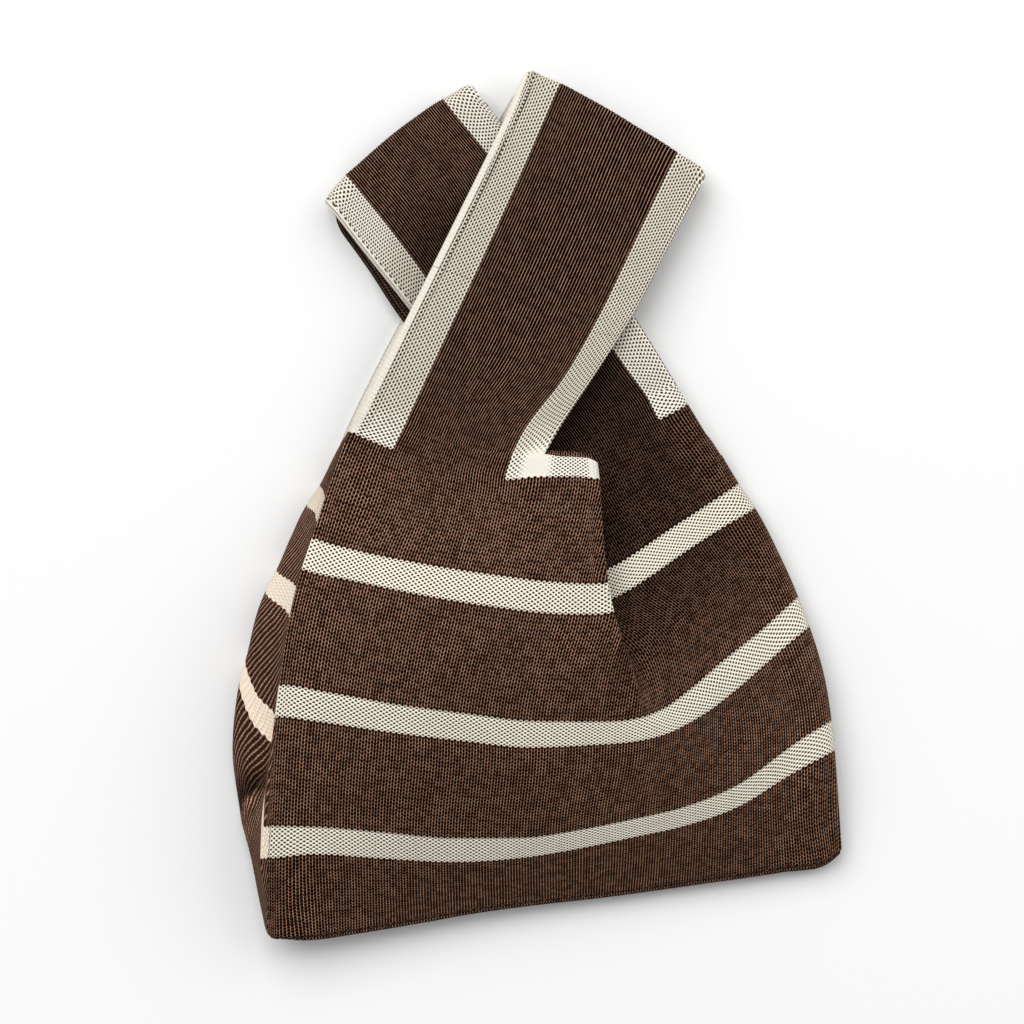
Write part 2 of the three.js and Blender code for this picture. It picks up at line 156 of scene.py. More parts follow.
LEFT_ROWS = {
    0: [(-32, 249, 803, 1.9), (-27, 240.5, 813, 5.6), (-17, 249.5, 858, 10.8), (-5.5, 259.5, 912, 16.5), (-1.6, 264.5, 929, 18.0)],
    12: [(-32, 250.5, 735, 1.9), (-27, 232.5, 748, 8.5), (-23, 241, 772, 13.0), (-18, 257, 803, 17.5), (-12, 261.5, 834, 22), (-6, 261.5, 868, 24.5), (-1.6, 264.5, 894, 26)],
    24: [(-32, 252, 668, 2.0), (-27, 239, 686, 11.5), (-23, 251, 723, 17.0), (-19, 272, 749, 22.5), (-13, 269.5, 776, 27.5), (-6, 262.0, 822, 32), (-1.6, 260.6, 850, 33)],
    31: [(-32, 258, 650, 2.0), (-27, 245, 664, 12.5), (-23, 255.5, 695, 18.0), (-18.5, 275, 719, 24), (-13, 271.5, 752, 29), (-6, 265.0, 793, 34.5), (-1.6, 263.6, 820, 36.2)],
    59: [(-32, 279, 580, 2.0), (-27, 265, 594, 15), (-20, 289, 620, 29), (-15, 285, 648, 34.5), (-8, 279, 684, 40), (-1.6, 273.3, 711, 42.4)],
    66: [(-32, 289, 560, 2.0), (-27, 276, 572, 14.5), (-20, 296, 592, 28), (-15, 292, 620, 33.5), (-8, 284, 656, 39), (-1.6, 277.3, 681, 41.8)],
    80: [(-32, 302, 530, 2.0), (-27, 290, 540, 13.5), (-20, 305, 557, 26), (-15, 302, 580, 31), (-8, 294, 606, 35.5), (-1.6, 286.6, 621, 37.8)],
    94: [(-32, 316, 499, 2.0), (-27, 306, 507, 12.5), (-20, 315.0, 518, 21.0), (-15, 312.5, 534, 25.0), (-8, 306.0, 554, 30.0), (-1.6, 300, 567, 32.8)],
    101: [(-32, 327, 482, 2.0), (-27, 319, 487, 11.5), (-20, 322.5, 495, 16.5), (-15, 320.5, 508, 19.5), (-8, 315.5, 526, 24.0), (-1.6, 310, 537, 27.3)],
    112: [(-32, 341, 452, 2.4), (-27, 335, 455, 9.5), (-20, 338.0, 462, 12.5), (-15, 336.5, 470, 14.0), (-8, 332.5, 481, 16.5), (-1.6, 328, 489, 18.9)],
    126: [(-32, 352, 430, 3.0), (-27, 351, 430, 6.5), (-20, 352, 431, 9.5), (-15, 352, 431, 10.8), (-8, 352, 432, 12.0), (-1.6, 350.5, 432, 13.0)],
}
FRONT_ROWS = {
    0: [(0, 266.8, 932.5, H(-0.6)), (2, 274.5, 936, H()), (5.8, 303, 934.5, H()), (15.3, 358, 927, H()), (25.7, 418, 917, H()), (36, 477, 906.5, H()), (43.5, 520, 900.5, H()),
        (59.5, 607, 890.5, H()), (75.8, 694, 878.5, H()), (92, 780, 866, H()), (101.5, 830, 857, H()), (104, 839, 850, H())],
    24: [(0, 265.6, 858, H(-0.9)), (1.5, 273, 857.8, H()), (8, 314, 853.8, H()), (20, 384, 857.8, H()), (32, 453, 861, H()), (44, 522, 856.6, H()), (54, 578, 847.6, H()), (64, 634, 836, H()), (74, 687, 824.2, H()),
         (84, 738, 806, H()), (94, 786, 777, H()), (104, 832, 751, H())],
    31: [(0, 267.4, 827, H(-0.9)), (1.5, 275, 826.8, H()), (8, 314, 827.4, H()), (20, 384, 832.4, H()), (32, 453, 837.8, H()), (44, 522, 837.2, H()), (54, 578, 829.6, H()), (64, 634, 818.4, H()), (74, 687, 805.6, H()),
         (84, 738, 784.4, H()), (94, 786, 750, H()), (104, 829, 722, H())],
    59: [(0, 274.4, 718, H(-0.9)), (1.5, 282.5, 717.5, H()), (8, 321, 722.2, H()), (20, 391, 732.3, H()), (32, 461, 740.4, H()), (44, 530, 747.2, H()), (54, 588, 744.8, H()), (64, 645, 739.4, H(0.3)),
         (67.5, 663, 734.6, H(-0.5)), (76, 702, 715, H(-0.7)), (85, 735.6, 689.8, H()), (94.5, 770, 659.8, H()), (104, 807, 628, H())],
    66: [(0, 278.4, 687, H(-0.9)), (1.5, 286.5, 687, H()), (8, 325, 693.3, H()), (20, 394, 705, H()), (32, 463, 713.8, H()), (44, 532, 721.6, H()), (54, 590, 722, H()), (60, 624, 720.9, H(0.4)), (63, 641.5, 718, H(0.1)),
         (65.5, 652.5, 715, H(-1.2)), (68, 661.5, 711.2, H(-2.5)), (76, 692, 689.4, H(-2.8)), (85, 724, 661.5, H(-1.4)), (94.5, 761, 631.6, H()), (104, 796, 599, H())],
    80: [(0, 287.4, 626, H(-0.9)), (1.5, 296, 627.5, H()), (8, 335, 637, H()), (20, 404, 650.5, H()), (32, 474, 661, H()), (44, 542, 669.5, H()), (53, 594, 671, H(0.8)), (57, 616, 669.5, H(0.7)), (58.6, 624.5, 668, H(-0.2)), (59.8, 629.5, 666.5, H(-1.6)),
         (61, 629, 665, H(-3.8)), (62.6, 625.5, 663, H(-6.5)), (64.4, 624, 660.5, H(-9.6)), (65.6, 627, 659, H(-11.5)), (69, 644, 651, H(-12)), (74, 665, 634.5, H(-10)), (80, 688, 616, H(-7)), (88, 717, 596.5, H(-3)), (96, 746, 577, H(-0.4)), (104, 777, 556, H())],
    94: [(0, 300.4, 571, H(-0.9)), (1.5, 309.5, 573.5, H()), (8, 348, 581.3, H()), (20, 417, 595.3, H()), (32, 487, 606.6, H()), (44, 556, 614.4, H(0.4)), (50, 592, 615.2, H(1.0)), (52.8, 608.5, 613.8, H(0.6)), (53.5, 612, 613, H(-1.3)),
         (54.3, 609, 612.4, H(-3.6)), (58, 588, 609.5, H(-5.5)), (63, 561, 606.5, H(-10)), (64, 562.5, 606, H(-13)), (68, 587, 603, H(-16.5)), (72.5, 612, 599.5, H(-17)), (76.2, 629, 591, H(-15)), (80, 647.7, 579, H(-11.5)), (88, 682.5, 555, H(-6)),
         (96, 717, 532, H(-1.2)), (104, 753, 510, H())],
    101: [(0, 310.4, 541, H(-0.9)), (1.5, 319.5, 543.5, H()), (8, 356, 553.2, H()), (20, 425, 566.9, H()), (32, 493, 577.3, H()), (44, 560, 584.8, H(0.4)), (49.5, 590, 585.8, H(1.0)), (51.8, 602.5, 585.3, H(0.6)), (52.5, 606.5, 585, H(-1.3)),
          (53.3, 603.5, 584.3, H(-3.6)), (57.5, 580, 581.5, H(-5.5)), (62.5, 551, 578, H(-11)), (63.5, 552.5, 577.5, H(-14)), (68, 577, 575.5, H(-18)), (73, 606, 572.5, H(-18.5)), (76.4, 621.5, 565.3, H(-16.5)), (80, 638, 554.7, H(-13.5)), (88, 671, 531.5, H(-7.5)),
          (96, 705, 508.5, H(-1.5)), (104, 737, 486, H())],
    112: [(0, 326.4, 493, H(-0.6)), (1.5, 334.5, 495, H()), (8, 375, 507, H()), (20, 440, 522, H()), (30.5, 497, 532, H()), (36, 528, 536.5, H()), (42, 561, 540, H(0.3)), (47, 589, 541.2, H(0.9)), (49.2, 597.6, 540.8, H(0.4)), (50, 601.4, 540, H(-1.4)),
          (50.8, 598.5, 539.3, H(-3.6)), (57, 566, 534, H(-9)), (63.5, 531, 527.5, H(-16.5)), (64.5, 531.5, 526.5, H(-19)), (68, 549, 524.5, 14.5), (73.5, 577, 518.5, 13.2), (80, 607, 507.5, 13.4), (88, 642, 488, 14.0), (96, 678, 469.5, 13.0), (104, 715.5, 450, 10.6)],
    126: [(0, 350.5, 432.5, 13.6), (1.5, 358, 436, 14.9), (8, 393, 450.5, 18.5), (20, 452, 469.5, 26.5), (30.5, 508, 481.3, 33.8), (36, 541, 478.8, 35), (42, 575, 478.2, 34.2), (45.5, 593, 480, 33), (46.5, 597.4, 480.5, 31),
          (47.3, 594.5, 480, 28.8), (56, 553, 474, 23), (65, 506, 465, 15), (66, 503.5, 464, 12.5), (68, 512, 461.5, 11.2), (73.5, 538, 452.5, 11.2), (80, 571, 442.5, 11.4), (88, 611, 432, 11.6), (98.5, 661.5, 419.5, 11.2), (104, 688, 404.5, 10.3)],
    132: [(0, 361.5, 410, 16.2), (1.5, 369, 413, 16.6), (8, 405, 426, 19.4), (20, 461, 443, 25.8), (30.5, 515, 455.5, 31.6), (36, 544.5, 454, 32.3), (38, 556, 455.8, 32.2), (42, 575, 457, 31.8), (45.2, 590, 458.6, 31), (46.2, 595.2, 461, 29),
          (47, 592, 461, 27), (56, 548, 452, 21.5), (65, 496, 444, 14.2), (66, 492, 443, 12), (68, 497.5, 440.5, 11.2), (73.5, 523, 431, 11.2), (80, 556, 423.5, 11.4), (88, 596, 410, 11.5), (98.5, 649.5, 396, 11.3), (104, 675, 383, 10.6)],
}
V_ROWS = [0, 12, 24, 31, 59, 66, 80, 94, 101, 112, 126, 132]
RIDGE = [64, 64, 64, 64, 64, 63, 59.8, 53.5, 52.5, 50, 46.5, 46.2]
VALLEY = [67.5, 67.5, 67.5, 67.5, 67.5, 65.5, 64.8, 63.3, 62.8, 63.8, 65.6, 65.6]
BACK_ROWS = 10       # rows of knots up to the shoulder


def front_between(v, us):
    """a course between measured ones"""
    keys = [0, 24, 31, 59]
    stack = np.array([hermite([k[0] for k in FRONT_ROWS[r]], np.array([k[1:3] for k in FRONT_ROWS[r]], float), np.array(us, float)) for r in keys])
    at_v = hermite_rows(keys, stack, np.full(len(us), float(v)))
    return [(u, x, y, H(-0.9) if u == 0 else H()) for u, (x, y) in zip(us, at_v)]


FRONT_ROWS[12] = front_between(12, [0, 1.5, 8, 20, 32, 44, 54, 64, 74, 84, 94, 101.5, 104])
RIGHT_END = 118


def right_side(v, x, y, z):
    """wales past the right edge: the side folded inwards and out to the back"""
    t = float(np.clip((y - 512) / (841 - 512), 0, 1))
    yb = 512 + (724 - 512) * t if y > 512 else y
    ym = 512 + (770 - 512) * t if y > 512 else y
    xb = float(column(RIGHT_EDGE, yb, 1)) - 7
    depth = 26 + 16 * t if y > 512 else 26 - 18 * min(1.0, (512 - y) / 70)
    z0 = z - 2.5
    zm = (z0 + 4.9) / 2
    return [
        (104.7, x + 0.3, y - 0.5, z - 1.5),
        (106, x - 4, y + (ym - y) * 0.12, z0 - 0.4),
        (108.5, x - 0.5 * depth, y + (ym - y) * 0.7, z0 + (zm + 1.2 - z0) * 0.6),
        (110.5, x - 0.94 * depth, ym, zm + 1.1),
        (111, x - depth, ym, zm),
        (111.5, x - 0.94 * depth, ym, zm - 1.1),
        (113.5, x - 0.5 * depth, ym + (yb - ym) * 0.5, 4.9 + (zm - 1.2 - 4.9) * 0.6),
        (116, xb - 4, yb, 4.2),
        (118, xb + 2.5, yb, 2.2),
    ]


RIGHT_LOW = {0: 1.5, 12: 4.0, 24: 5.0, 31: 5.5, 59: 6.0, 66: 6.0, 80: 5.0, 94: 3.5, 101: 2.5, 112: 1.0}


def knots(v):
    out = []
    # rows are drawn at the outline, the middle of the cloth lies inside it
    for u, x, y, z in LEFT_ROWS.get(v, LEFT_ROWS[126]):
        if v in (12, 24, 31):
            dx = np.interp(u, [-32, -27, -19, -13, -6, -1.6], [1.0, 2.4, 2.2, 2.6, 2.2, 2.2])
        elif v >= 126:
            dx = 0.6
        else:
            dx = np.interp(u, [-32, -27, -20, -15, -6, -1.6], [1.0, 2.4, 2.2, 4.6, 4.8, 3.6])
        if u == -1.6 and 24 <= v <= 112:
            y = FRONT_ROWS[v][0][2] + 0.5
        out.append((u, x + dx, y, z))
    for u, x, y, z in FRONT_ROWS[v]:
        if isinstance(z, tuple):
            z = float(front_height(np.array([float(x)]), np.array([float(y)]))[0]) + z[1]
        z -= RIGHT_LOW.get(v, 0.0) * float(smooth((u - 82.0) / 22.0))
        if v < 126:
            x += float(np.interp(u, [0, 1.5, 8], [2.8, 0.8, 0]))
        out.append((u, x, y, z))
    last = out[-1]
    out.extend(right_side(v, last[1], last[2], last[3]))
    return np.array(out, float)


ROW_KNOTS = [knots(v) for v in V_ROWS]


def body_surface(u, v):
    """plan points of the middle of the cloth at wale u, course v (flat arrays)"""
    ridge = hermite(V_ROWS, np.array(RIDGE, float), v)
    valley = hermite(V_ROWS, np.array(VALLEY, float), v)
    seg_a = (u >= 0) & (u <= ridge)
    seg_b = (u > ridge) & (u <= valley)
    seg_c = (u > valley) & (u <= WALES)
    rows = np.empty((len(V_ROWS), len(u), 3))
    for k, table in enumerate(ROW_KNOTS):
        r, w = RIDGE[k], VALLEY[k]
        uk = u.copy()
        uk[seg_a] = u[seg_a] / ridge[seg_a] * r
        uk[seg_b] = r + (u[seg_b] - ridge[seg_b]) / (valley[seg_b] - ridge[seg_b]) * (w - r)
        uk[seg_c] = w + (u[seg_c] - valley[seg_c]) / (WALES - valley[seg_c]) * (WALES - w)
        rows[k] = hermite(table[:, 0], table[:, 1:], uk)
    p = hermite_rows(V_ROWS, rows, v)
    # crease of the left gusset over the end of the base
    side = np.clip((-u - 8) / 6.0, 0, 1) * np.clip((u + 31) / 4.0, 0, 1)
    ax, ay, bx, by = 271.0, 773.0, 239.0, 814.0
    n = math.hypot(bx - ax, by - ay)
    d = ((p[:, 0] - ax) * (by - ay) - (p[:, 1] - ay) * (bx - ax)) / n
    below = -d
    drop = smooth((below + 1.0) / 2.6) * np.exp(-np.clip(below, 0, None) / 15.0)
    lift = np.exp(-((below + 4.5) / 5.5) ** 2)
    near = (p[:, 1] > 690) & (p[:, 2] < 40)
    p[:, 2] += np.where(near, side * (-6.0 * drop + 1.8 * lift), 0)
    # a soft fold hangs from the neck edge
    hang = smooth((p[:, 1] - 474) / 14.0) * smooth((640 - p[:, 1]) / 120.0)
    p[:, 2] += 2.2 * np.exp(-((p[:, 0] - 531 - 0.02 * (p[:, 1] - 480)) / 13.0) ** 2) * hang * ((u > 20) & (u < 50))
    # a little slack in the cloth
    p[:, 2] += 0.35 * np.sin(p[:, 0] * 0.045 + 0.6 * np.sin(p[:, 1] * 0.021)) * np.sin(p[:, 1] * 0.037 + 1.1) * np.clip(v / 20, 0, 1) * (u > 0) * (u < 104)
    return p


# -------------------------------------------------------------------- handles
def poly(points):
    """points along a polyline read by its share of length, smoothly"""
    p = np.array(points, float)
    d = np.concatenate([[0], np.cumsum(np.hypot(*(p[1:] - p[:-1]).T))])
    d /= d[-1]
    return lambda t: hermite(d, p, np.atleast_1d(np.asarray(t, float)))


def keyed(points):
    """(t, x, y) read smoothly by t"""
    p = np.array(points, float)
    return lambda t: hermite(p[:, 0], p[:, 1:], np.atleast_1d(np.asarray(t, float)))


def height(points):
    p = np.array(points, float)
    return lambda t: hermite(p[:, 0], p[:, 1], np.atleast_1d(np.asarray(t, float)))


HALF = 1.85          # half the thickness of a handle, both plies
TS = np.array([0, 0.06, 0.14, 0.25, 0.4, 0.55, 0.7, 0.85, 0.93, 1.0])

HANDLES = {
    "left": {
        "u0": 0, "r": 3.5, "zc": 10.5, "front_v": 80, "bight_v": 6,
        "lines": {
            0: keyed([(0, 361.5, 410), (0.25, 403, 325.5), (0.5, 444.5, 241.5), (0.75, 486, 157.5), (0.93, 517.5, 93), (1, 526, 76)]),
            8: keyed([(0, 405, 426), (0.25, 444.5, 340.5), (0.5, 484, 255.5), (0.75, 522.5, 170.5), (1, 560.5, 84)]),
            30.5: keyed([(0, 515, 455.5), (0.1, 531, 426), (0.26, 564, 382), (0.47, 600, 320), (0.70, 635, 248), (1, 681, 155)]),
            36: keyed([(0, 544.5, 454), (0.06, 557, 433), (0.288, 596, 373.5), (0.514, 634, 313.5), (0.76, 670, 244), (1, 705, 178)]),
        },
        "z0": height([(0, 16.2), (0.168, 18), (0.394, 19), (0.623, 19), (0.846, 18), (0.926, 16.4), (1, 14)]),
        "z1": height([(0, 32.3), (0.078, 26.5), (0.19, 24), (0.30, 22), (0.41, 20), (0.52, 18), (0.76, 16.4), (1, 14)]),
        "tip": [(-0.5, 524, 78), (0.8, 528, 73.5), (2.2, 533, 71.6), (5, 545, 77), (8, 560.5, 83.2), (13, 584, 95.5), (18, 610, 110), (23, 638, 127.2), (27.5, 662, 142.0), (30.5, 680, 153.8), (33.6, 694.8, 163.0), (35, 701.2, 168.4), (36, 704, 178.5)],
        "back0": keyed([(0, 521.5, 83), (0.05, 511.8, 101), (0.1, 502.3, 119), (0.16, 496, 136), (0.3, 475, 184), (0.5, 440, 255), (0.64, 408, 312), (0.75, 390.2, 345), (1, 348.3, 430), (1.25, 327, 486)]),
        "back1": keyed([(0, 697, 182), (0.07, 684, 203), (0.25, 656.5, 252), (0.5, 626, 318), (0.75, 590, 374), (1, 552, 430), (1.25, 506, 486)]),
        "bz": height([(0, 7), (0.08, 5.4), (0.22, 3.2), (0.36, 2.05), (0.5, 1.98), (1, 1.98), (1.25, 1.98)]),
    },
    "right": {
        "u0": 68, "r": 5.2, "zc": 7.3, "front_v": 76, "bight_v": 9,
        "lines": {
            0: keyed([(0, 497.5, 440.5), (0.3, 448, 361), (0.555, 407, 306.5), (0.8, 363, 251), (1, 327.5, 205.5)]),
            5.5: keyed([(0, 523, 431), (0.3, 468, 343), (0.555, 423, 278), (0.8, 379, 219), (1, 346, 176.5)]),
            30.5: keyed([(0, 649.5, 396), (0.2, 613.5, 345.5), (0.5, 557, 258), (0.85, 483, 145), (1, 444.5, 98)]),
            36: keyed([(0, 675, 383), (0.222, 633, 315), (0.5, 578, 232), (0.854, 503, 124), (1, 474.5, 88)]),
        },
        "z0": height([(0, 11.2), (0.15, 11.3), (0.5, 11.6), (0.85, 12.2), (1, 12.5)]),
        "z1": height([(0, 10.6), (0.15, 11.5), (0.5, 11.6), (0.85, 12.2), (1, 12.5)]),
        "tip": [(0, 324.5, 202), (2.4, 331, 191.5), (5.5, 344, 176.5), (9, 358, 164.2), (12.5, 372, 151.6), (16, 386, 139.5), (19.5, 400, 128.3), (23, 414, 118.0), (26.5, 428, 108), (30.5, 444.5, 98), (33, 456, 91.2), (35, 466, 86.2), (36.3, 474, 87.2)],
        "back0": keyed([(0, 329, 212), (0.3, 370, 268), (0.55, 404.5, 320), (0.75, 446, 372), (1, 494, 431), (1.22, 600, 497)]),
        "back1": keyed([(0, 473.5, 93), (0.15, 497.5, 128.5), (0.5, 575, 233), (0.8, 634, 320), (1, 690, 412), (1.22, 736, 498)]),
        "bz": height([(0, 2.1), (0.12, 2.1), (0.24, 2.6), (0.36, 5.2), (0.44, 6.15), (1, 6.1), (1.22, 5.6)]),
    },
}


def handle_grid(h, us):
    """middle surface of a whole handle: rows of plan points with their courses, from the neck edge over the tip and back to the shoulder"""
    u_line = sorted(h["lines"])
    px = 1.0 / GRID
    n_front = h["front_v"]
    rows, vs, kind = [], [], []
    # where the bight starts: set back from the outline of the tip
    reach = (h["r"] + HALF) * px
    tip = np.array(h["tip"], float)
    outline = hermite(tip[:, 0], tip[:, 1:], np.clip(us, tip[0, 0], tip[-1, 0]))

    def front(t):
        pts = np.array([h["lines"][u](t)[0] for u in u_line])
        z0, z1 = float(h["z0"](t)[0]), float(h["z1"](t)[0])
        xy = hermite(u_line, pts, us)
        z = z0 + (z1 - z0) * us / STRAP
        return xy, z

    a, _ = front(0.9)
    b, _ = front(1.0)
    along = (b - a).mean(axis=0)
    along /= np.linalg.norm(along)
    centre = outline - along * reach
    for i in range(n_front * 2 + 1):
        t = i / (n_front * 2)
        xy, z = front(t)
        # close to the tip each column runs to its own place on the bight
        end, _ = front(1.0)
        w = smooth((t - 0.62) / 0.38)
        xy = xy + (centre - end) * w
        rows.append(np.concatenate([xy, z[:, None]], 1))
        vs.append(HEM_V + i * 0.5)
    nb = h["bight_v"] * 2
    base = rows[-1].copy()
    for i in range(1, nb + 1):
        a = math.pi * i / nb
        xy = centre + along * (h["r"] * px * math.sin(a))
        z = np.full(len(us), h["zc"] + h["r"] * math.cos(a))
        rows.append(np.concatenate([xy, z[:, None]], 1))
        vs.append(HEM_V + n_front + i * 0.5)
    nk = n_front * 2 + 40
    end_t = 1.25 if h["u0"] == 0 else 1.22
    for i in range(1, nk + 1):
        t = end_t * i / nk
        p0, p1 = h["back0"](t)[0], h["back1"](t)[0]
        f = (us / STRAP)[:, None]
        xy = p0 * (1 - f) + p1 * f
        w = 1 - smooth(t / 0.12)
        q0, q1 = h["back0"](0.0)[0], h["back1"](0.0)[0]
        start = q0 * (1 - f) + q1 * f
        xy = xy + (centre - start) * w
        z = np.full(len(us), float(h["bz"](t)[0]))
        rows.append(np.concatenate([xy, z[:, None]], 1))
        vs.append(HEM_V + n_front + h["bight_v"] + i * 0.5)
    return np.array(rows), np.array(vs)


def grid_normals(p):
    du = np.gradient(p, axis=1)
    dv = np.gradient(p, axis=0)
    n = np.cross(du, dv)
    n /= np.linalg.norm(n, axis=2, keepdims=True) + 1e-12
    return n


def stitch_relief(u, v, even=1.0):
    """height of the stitches in mm: two legs to a wale, staggered holes"""
    leg = 0.5 - 0.5 * np.cos(4 * np.pi * u)
    hole = np.clip(np.cos(2 * np.pi * u) * np.cos(2 * np.pi * v), 0, 1)
    cross = np.clip(-np.cos(2 * np.pi * u) * np.cos(2 * np.pi * v), 0, 1)
    return (RELIEF * (leg - 0.55) - 0.30 * hole + 0.10 * cross) * even


def make_object(name, verts, faces, mats, mat_index, attrs, uv=None, smooth_faces=True):
    """faces: list of (k, n) index arrays"""
    me = bpy.data.meshes.new(name)
    counts = np.concatenate([np.full(len(f), f.shape[1], np.int32) for f in faces])
    loops = np.concatenate([f.ravel() for f in faces]).astype(np.int32)
    me.vertices.add(len(verts))
    me.vertices.foreach_set("co", verts.astype(np.float32).ravel())
    me.loops.add(len(loops))
    me.loops.foreach_set("vertex_index", loops)
    me.polygons.add(len(counts))
    starts = np.concatenate([[0], np.cumsum(counts)[:-1]]).astype(np.int32)
    me.polygons.foreach_set("loop_start", starts)
    me.update(calc_edges=True)
    me.polygons.foreach_set("use_smooth", np.full(len(counts), smooth_faces))
    idx = np.concatenate(mat_index).astype(np.int32)
    me.polygons.foreach_set("material_index", idx)
    for m in mats:
        me.materials.append(m)
    for key, value in attrs.items():
        a = me.attributes.new(key, "FLOAT_VECTOR", "POINT")
        a.data.foreach_set("vector", value.astype(np.float32).ravel())
    if uv is not None:
        layer = me.uv_layers.new(name="OFBake")
        layer.data.foreach_set("uv", uv.astype(np.float32).ravel())
    me.validate()
    me.update()
    ob = bpy.data.objects.new(name, me)
    scene.collection.objects.link(ob)
    return ob


def shell(name, outer, inner, mask, st, mats, ku=4, kv=2, turn=0):
    """a cloth of stitch cells: fine outer skin (nv*kv+1, nu*ku+1), one inner quad per cell (nv+1, nu+1), closed along every free edge. st is the
    stitch coordinate of each fine point. mats are outer and inner"""
    nv, nu = mask.shape
    fine_used = np.zeros((nv * kv + 1, nu * ku + 1), bool)
    cell_fine = np.repeat(np.repeat(mask, kv, 0), ku, 1)
    fine_used[:-1, :-1] |= cell_fine
    fine_used[1:, :-1] |= cell_fine
    fine_used[:-1, 1:] |= cell_fine
    fine_used[1:, 1:] |= cell_fine
    coarse_used = np.zeros((nv + 1, nu + 1), bool)
    coarse_used[:-1, :-1] |= mask
    coarse_used[1:, :-1] |= mask
    coarse_used[:-1, 1:] |= mask
    coarse_used[1:, 1:] |= mask
    fid = -np.ones(fine_used.shape, np.int64)
    fid[fine_used] = np.arange(fine_used.sum())
    nf = int(fine_used.sum())
    cid = -np.ones(coarse_used.shape, np.int64)
    cid[coarse_used] = nf + np.arange(coarse_used.sum())
    verts = np.concatenate([outer[fine_used], inner[coarse_used]])
    st_c = st[::kv, ::ku]
    attr = np.concatenate([st[fine_used], st_c[coarse_used]])
    r, c = np.nonzero(cell_fine)
    quads = np.stack([fid[r, c], fid[r, c + 1], fid[r + 1, c + 1], fid[r + 1, c]], 1)
    r, c = np.nonzero(mask)
    back = np.stack([cid[r, c], cid[r + 1, c], cid[r + 1, c + 1], cid[r, c + 1]], 1)
    rims = {ku + 3: [], kv + 3: []}
    pad = np.pad(mask, 1)
    for dr, dc in ((-1, 0), (1, 0), (0, -1), (0, 1)):
        edge = mask & ~pad[1 + dr:1 + dr + nv, 1 + dc:1 + dc + nu]
        rr, cc = np.nonzero(edge)
        if not len(rr):
            continue
        if dr == -1:
            line = [fid[rr * kv, cc * ku + k] for k in range(ku, -1, -1)]
            ends = [cid[rr, cc], cid[rr, cc + 1]]
        elif dr == 1:
            line = [fid[rr * kv + kv, cc * ku + k] for k in range(0, ku + 1)]
            ends = [cid[rr + 1, cc + 1], cid[rr + 1, cc]]
        elif dc == -1:
            line = [fid[rr * kv + k, cc * ku] for k in range(0, kv + 1)]
            ends = [cid[rr + 1, cc], cid[rr, cc]]
        else:
            line = [fid[rr * kv + k, cc * ku + ku] for k in range(kv, -1, -1)]
            ends = [cid[rr, cc + 1], cid[rr + 1, cc + 1]]
        f = np.stack(line + ends, 1)
        rims[f.shape[1]].append(f)
    rim = [np.concatenate(x) for x in rims.values() if x]
    faces = [quads, back] + rim
    r, c = np.nonzero(mask)
    near = np.zeros(len(back), bool)
    if turn:
        inset = mask.copy()
        for _ in range(turn):
            box = np.pad(inset, ((0, 0), (1, 1)))
            inset = inset & box[:, :-2] & box[:, 2:]
        near = ~inset[r, c]
    idx = [np.zeros(len(quads)), np.where(near, 0, 1)] + [np.zeros(len(x)) for x in rim]
    # map for baking: the outer skin over most of the square, the inner skin in a strip beside it
    rr, cc = np.nonzero(fine_used)
    uo = np.stack([cc / (nu * ku) * 0.74 + 0.005, rr / (nv * kv) * 0.99 + 0.005], 1)
    rc, c2 = np.nonzero(coarse_used)
    ui = np.stack([c2 / nu * 0.22 + 0.765, rc / nv * 0.99 + 0.005], 1)
    both = np.concatenate([uo, ui])
    uv = [both[quads.ravel()], both[back.ravel()]]
    for x in rim:
        uvx = both[x.ravel()].reshape(x.shape[0], x.shape[1], 2).copy()
        uvx[:, -2:] = uvx[:, [-3, 0]]  # rims fold flat onto the edge of the outer skin
        uvx[:, -2:] += np.array([0.0015, 0.0])
        uv.append(uvx.reshape(-1, 2))
    uv = np.concatenate(uv)
    return make_object(name, verts, faces, mats, idx, {"st": attr}, uv)


# ------------------------------------------------------------------ materials
def srgb(r, g, b):
    def lin(c):
        c /= 255.0
        return c / 12.92 if c <= 0.04045 else ((c + 0.055) / 1.055) ** 2.4
    return (lin(r), lin(g), lin(b), 1.0)


